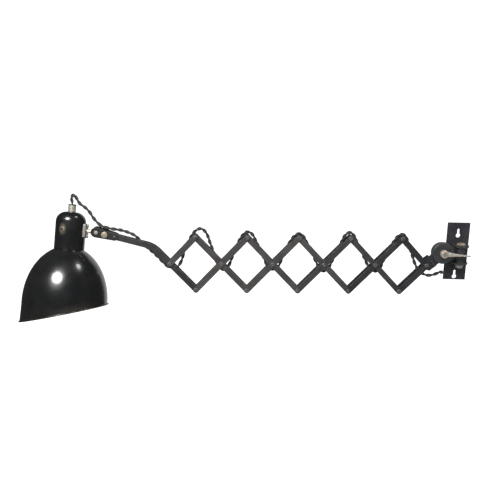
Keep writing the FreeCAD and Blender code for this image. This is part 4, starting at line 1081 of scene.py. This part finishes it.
# %% [markdown]
# ## Castings and plates
#
# The remaining pieces are stampings and castings whose solids already have the right
# shape and holes. A copy of each is joined up and its arrises rounded by a small bevel,
# which catches the light as a real edge does, and the bevel takes the worn finish.

# %% Paint for the arrises
def rubbed_through(base):
    """A copy of a paint for its arrises: the same coat, rubbed through in places."""
    copy = base.copy()
    copy.name = base.name + "_rubbed"
    copy.node_tree.nodes["Rubbed Edges"].inputs["Everywhere"].default_value = 0.9
    copy.node_tree.nodes["Rubbed Edges"].inputs["Amount"].default_value = 0.8
    return copy


rubbed_joint, rubbed_plate = rubbed_through(joint_paint), rubbed_through(plate_paint)
rubbed_shaded_arm_paint, rubbed_cheek = rubbed_through(shaded_arm_paint), rubbed_through(cheek_paint)
print("rubbed", [m.name for m in (rubbed_joint, rubbed_plate, rubbed_shaded_arm_paint, rubbed_cheek)])


# %% A rounded copy of a solid
def flats_merged(work):
    """Neighbouring faces that lie flat, to half a degree, become one."""
    flat_angle = math.radians(0.5)
    bmesh.ops.dissolve_limit(work, angle_limit=flat_angle, verts=work.verts, edges=work.edges)


def rounded(node, coating, edge_coating=None, width=0.35, reshape=None):
    """A joined-up copy of a solid with its arrises bevelled, settled in its place."""
    mesh = frame["nodes"][node].data.copy()
    mesh.name = node + "_rounded"
    for name in [a.name for a in mesh.attributes if "normal" in a.name.lower()]:
        mesh.attributes.remove(mesh.attributes[name])
    reworked(mesh, joined, flats_merged)
    if reshape:
        points = np.zeros(len(mesh.vertices) * 3)
        mesh.vertices.foreach_get("co", points)
        mesh.vertices.foreach_set("co", reshape(points.reshape(-1, 3)).ravel())
    mesh.materials.clear()
    mesh.materials.append(coating)
    mesh.materials.append(edge_coating or coating)
    mesh.shade_smooth()
    obj = in_scene(node + "_rounded", mesh)
    bevel = obj.modifiers.new("arrises", "BEVEL")
    bevel.width = width / 1000
    bevel.segments = 3
    bevel.limit_method = "ANGLE"
    bevel.angle_limit = math.radians(38)
    bevel.material = 1
    bevel.use_clamp_overlap = True
    even = obj.modifiers.new("even", "WEIGHTED_NORMAL")
    even.keep_sharp = True
    return settle(obj, node)


print("solids are rounded by", rounded.__name__)

# %% [markdown]
# The hinge casting's rear disc shows less behind the front disc than its solid would, so
# its rim is drawn in. The web between barrel and disc is one thick strip beside it.

# %% The hinge casting
DISC_R, FILED_R = 21.5, 19.6


def smaller_disc(points):
    """The rear disc filed down: p -> c + (p - c) FILED_R / DISC_R on its rim only."""
    c = on_arm(TILT_AXIS)
    u = turn("z", SWING)[:, 0]
    off = points - c
    along_u, up = off @ u, off[:, 2]
    rim = np.abs(np.hypot(along_u, up) - DISC_R / 1000) < 0.0003
    shift = (FILED_R / DISC_R - 1) * (along_u[:, None] * u + up[:, None] * np.array([0, 0, 1.0]))
    return points + shift * rim[:, None]


web = [(-24.0, -12.8), (-4.0, -12.8), (-4.0, 13.6), (-24.0, 13.6)]
piece("swivel_block", [strip(web, 1.2, 8.4, 0.5)], joint_paint)

# %% Every casting, plate, nut and screw
rounded("wall_plate", plate_paint, rubbed_plate, 0.3)
rounded("hinge_lugs", joint_paint, rubbed_joint, 0.4)
rounded("swivel_block", joint_paint, rubbed_joint, 0.5, smaller_disc)
rounded("tilt_knuckle", joint_paint, rubbed_joint, 0.5)
rounded("rising_bars_5", shaded_arm_paint, rubbed_shaded_arm_paint, 0.3)
rounded("clamp_cheeks", cheek_paint, rubbed_cheek, 0.35)
rounded("stem_bracket", bracket_nickel, bracket_nickel, 0.4)
rounded("hinge_nut", nickel, nickel, 0.25)
rounded("hinge_washers", nickel, nickel, 0.12)
rounded("lug_rivets", blackened, blackened, 0.15)
rounded("clamp_nut", blackened, blackened, 0.25)
rounded("clamp_screw", brass, brass, 0.15)
rounded("cheek_rivet", blackened, blackened, 0.15)
rounded("tilt_bolt", nickel, nickel, 0.2)
rounded("switch_bush", browned, browned, 0.15)
rounded("switch_spindle", bakelite, bakelite, 0.12)
rounded("shade_ring", bakelite, bakelite, 0.3)
rounded("lampholder_body", bakelite, bakelite, 0.4)

# %% [markdown]
# Two solids are hidden inside, so they stay as they are and only take their finish.

# %% Finishes for the solids that stay as they are
for name, coating in (("friction_washer", fibre), ("lampholder_contacts", brass)):
    for slot in frame["nodes"][name].material_slots:
        slot.material = coating
    print(name, "takes", coating.name)

# %% [markdown]
# ## Light, floor and background
#
# One large soft light stands high on the left, a small one high on the right, and a wide
# one in front fills the shadows. White paper behind shows in the enamel's right-hand side.
# The background is white only to the camera, and a wide pale floor lies well below.

# %% Floor
FLOOR_HALF = 30.0
floor_mesh = bpy.data.meshes.new("floor")
signs = [(-1, -1), (1, -1), (1, 1), (-1, 1)]
corners = [(FLOOR_HALF * i, FLOOR_HALF * j, -1.0) for i, j in signs]
floor_mesh.from_pydata(corners, [], [(0, 1, 2, 3)])
floor = in_scene("floor", floor_mesh)
floor.visible_glossy = False
paper = bpy.data.materials.new("white_paper")
paper.use_nodes = True
tree = paper.node_tree
seen = add(tree, "LightPath", {}).outputs["Is Camera Ray"]
fill(tree, tree.nodes["Principled BSDF"], {
    "Base Color": (0.85, 0.85, 0.85, 1),
    "Roughness": 0.9,
    "Specular IOR Level": 0.0,
    "Emission Color": (1, 1, 1, 1),
    "Emission Strength": maths(tree, "MULTIPLY", seen, 0.7),
})
floor_mesh.materials.append(paper)
print("floor", 2 * FLOOR_HALF, "m wide")

# %% [markdown]
# A glossy surface sees white paper only in the band behind the lamp, and near black
# elsewhere, as black enamel does in a dark studio. Matt surfaces get an even light.

# %% World
world = bpy.data.worlds.new("studio")
bpy.context.scene.world = world
world.use_nodes = True
tree = world.node_tree
ray = add(tree, "LightPath", {}).outputs
direction = add(tree, "TexCoord", {}).outputs["Generated"]
side = add(tree, "SeparateXYZ", {0: direction}).outputs
bearing = maths(tree, "ARCTAN2", side["X"], side["Y"])
past_left = steps_between(tree, bearing, math.radians(-26), math.radians(-18))
past_right = steps_between(tree, bearing, math.radians(22), math.radians(34))
raised = steps_between(tree, side["Z"], 0.36, 0.52)
paper_seen = maths(tree, "MULTIPLY", past_left, maths(tree, "SUBTRACT", 1.0, past_right))
paper_seen = maths(tree, "MULTIPLY", paper_seen, maths(tree, "SUBTRACT", 1.0, raised))
shiny = maths(tree, "ADD", maths(tree, "MULTIPLY", paper_seen, 0.62), 0.045)
shiny = maths(tree, "MULTIPLY", shiny, ray["Is Glossy Ray"])
soft = maths(tree, "MULTIPLY", ray["Is Diffuse Ray"], 0.66)
white = maths(tree, "MAXIMUM", ray["Is Camera Ray"], ray["Is Transmission Ray"])
strength = maths(tree, "ADD", maths(tree, "ADD", shiny, soft), white)
fill(tree, tree.nodes["Background"], {"Color": (1, 1, 1, 1), "Strength": strength})
bpy.context.scene.view_settings.view_transform = "Standard"
print("world", len(tree.nodes), "nodes")


# %% [markdown]
# Each lamp is an area light turned to face the shade. The front one isn't seen in gloss,
# because the enamel would show it as a white patch that the photograph doesn't have.

# %% Lamps
def soft_lamp(name, place, target, size, watts, tall=None, shown=True):
    """An area light at a place, facing a target, both in metres."""
    data = bpy.data.lights.new(name, "AREA")
    data.shape, data.size, data.energy = "ELLIPSE" if tall else "DISK", size, watts
    if tall:
        data.size_y = tall
    lamp = in_scene(name, data)
    lamp.location = place
    toward = np.asarray(target, float) - np.asarray(place, float)
    x, y, z = toward / np.linalg.norm(toward)
    lamp.rotation_euler = (math.acos(-z), 0.0, math.atan2(x, -y) + math.pi)
    lamp.visible_camera = False
    lamp.visible_glossy = shown
    return lamp


shade_spot = on_head([0, -70, -96])
soft_lamp("key", (-0.93, -0.9, 0.9), shade_spot, 0.62, 22.0, tall=0.42)
soft_lamp("high", (0.39, 0.04, 1.66), shade_spot, 0.4, 6.0)
soft_lamp("front", (0.3, -1.7, 0.7), (-0.1, -0.05, 0.0), 0.9, 17.0, shown=False)
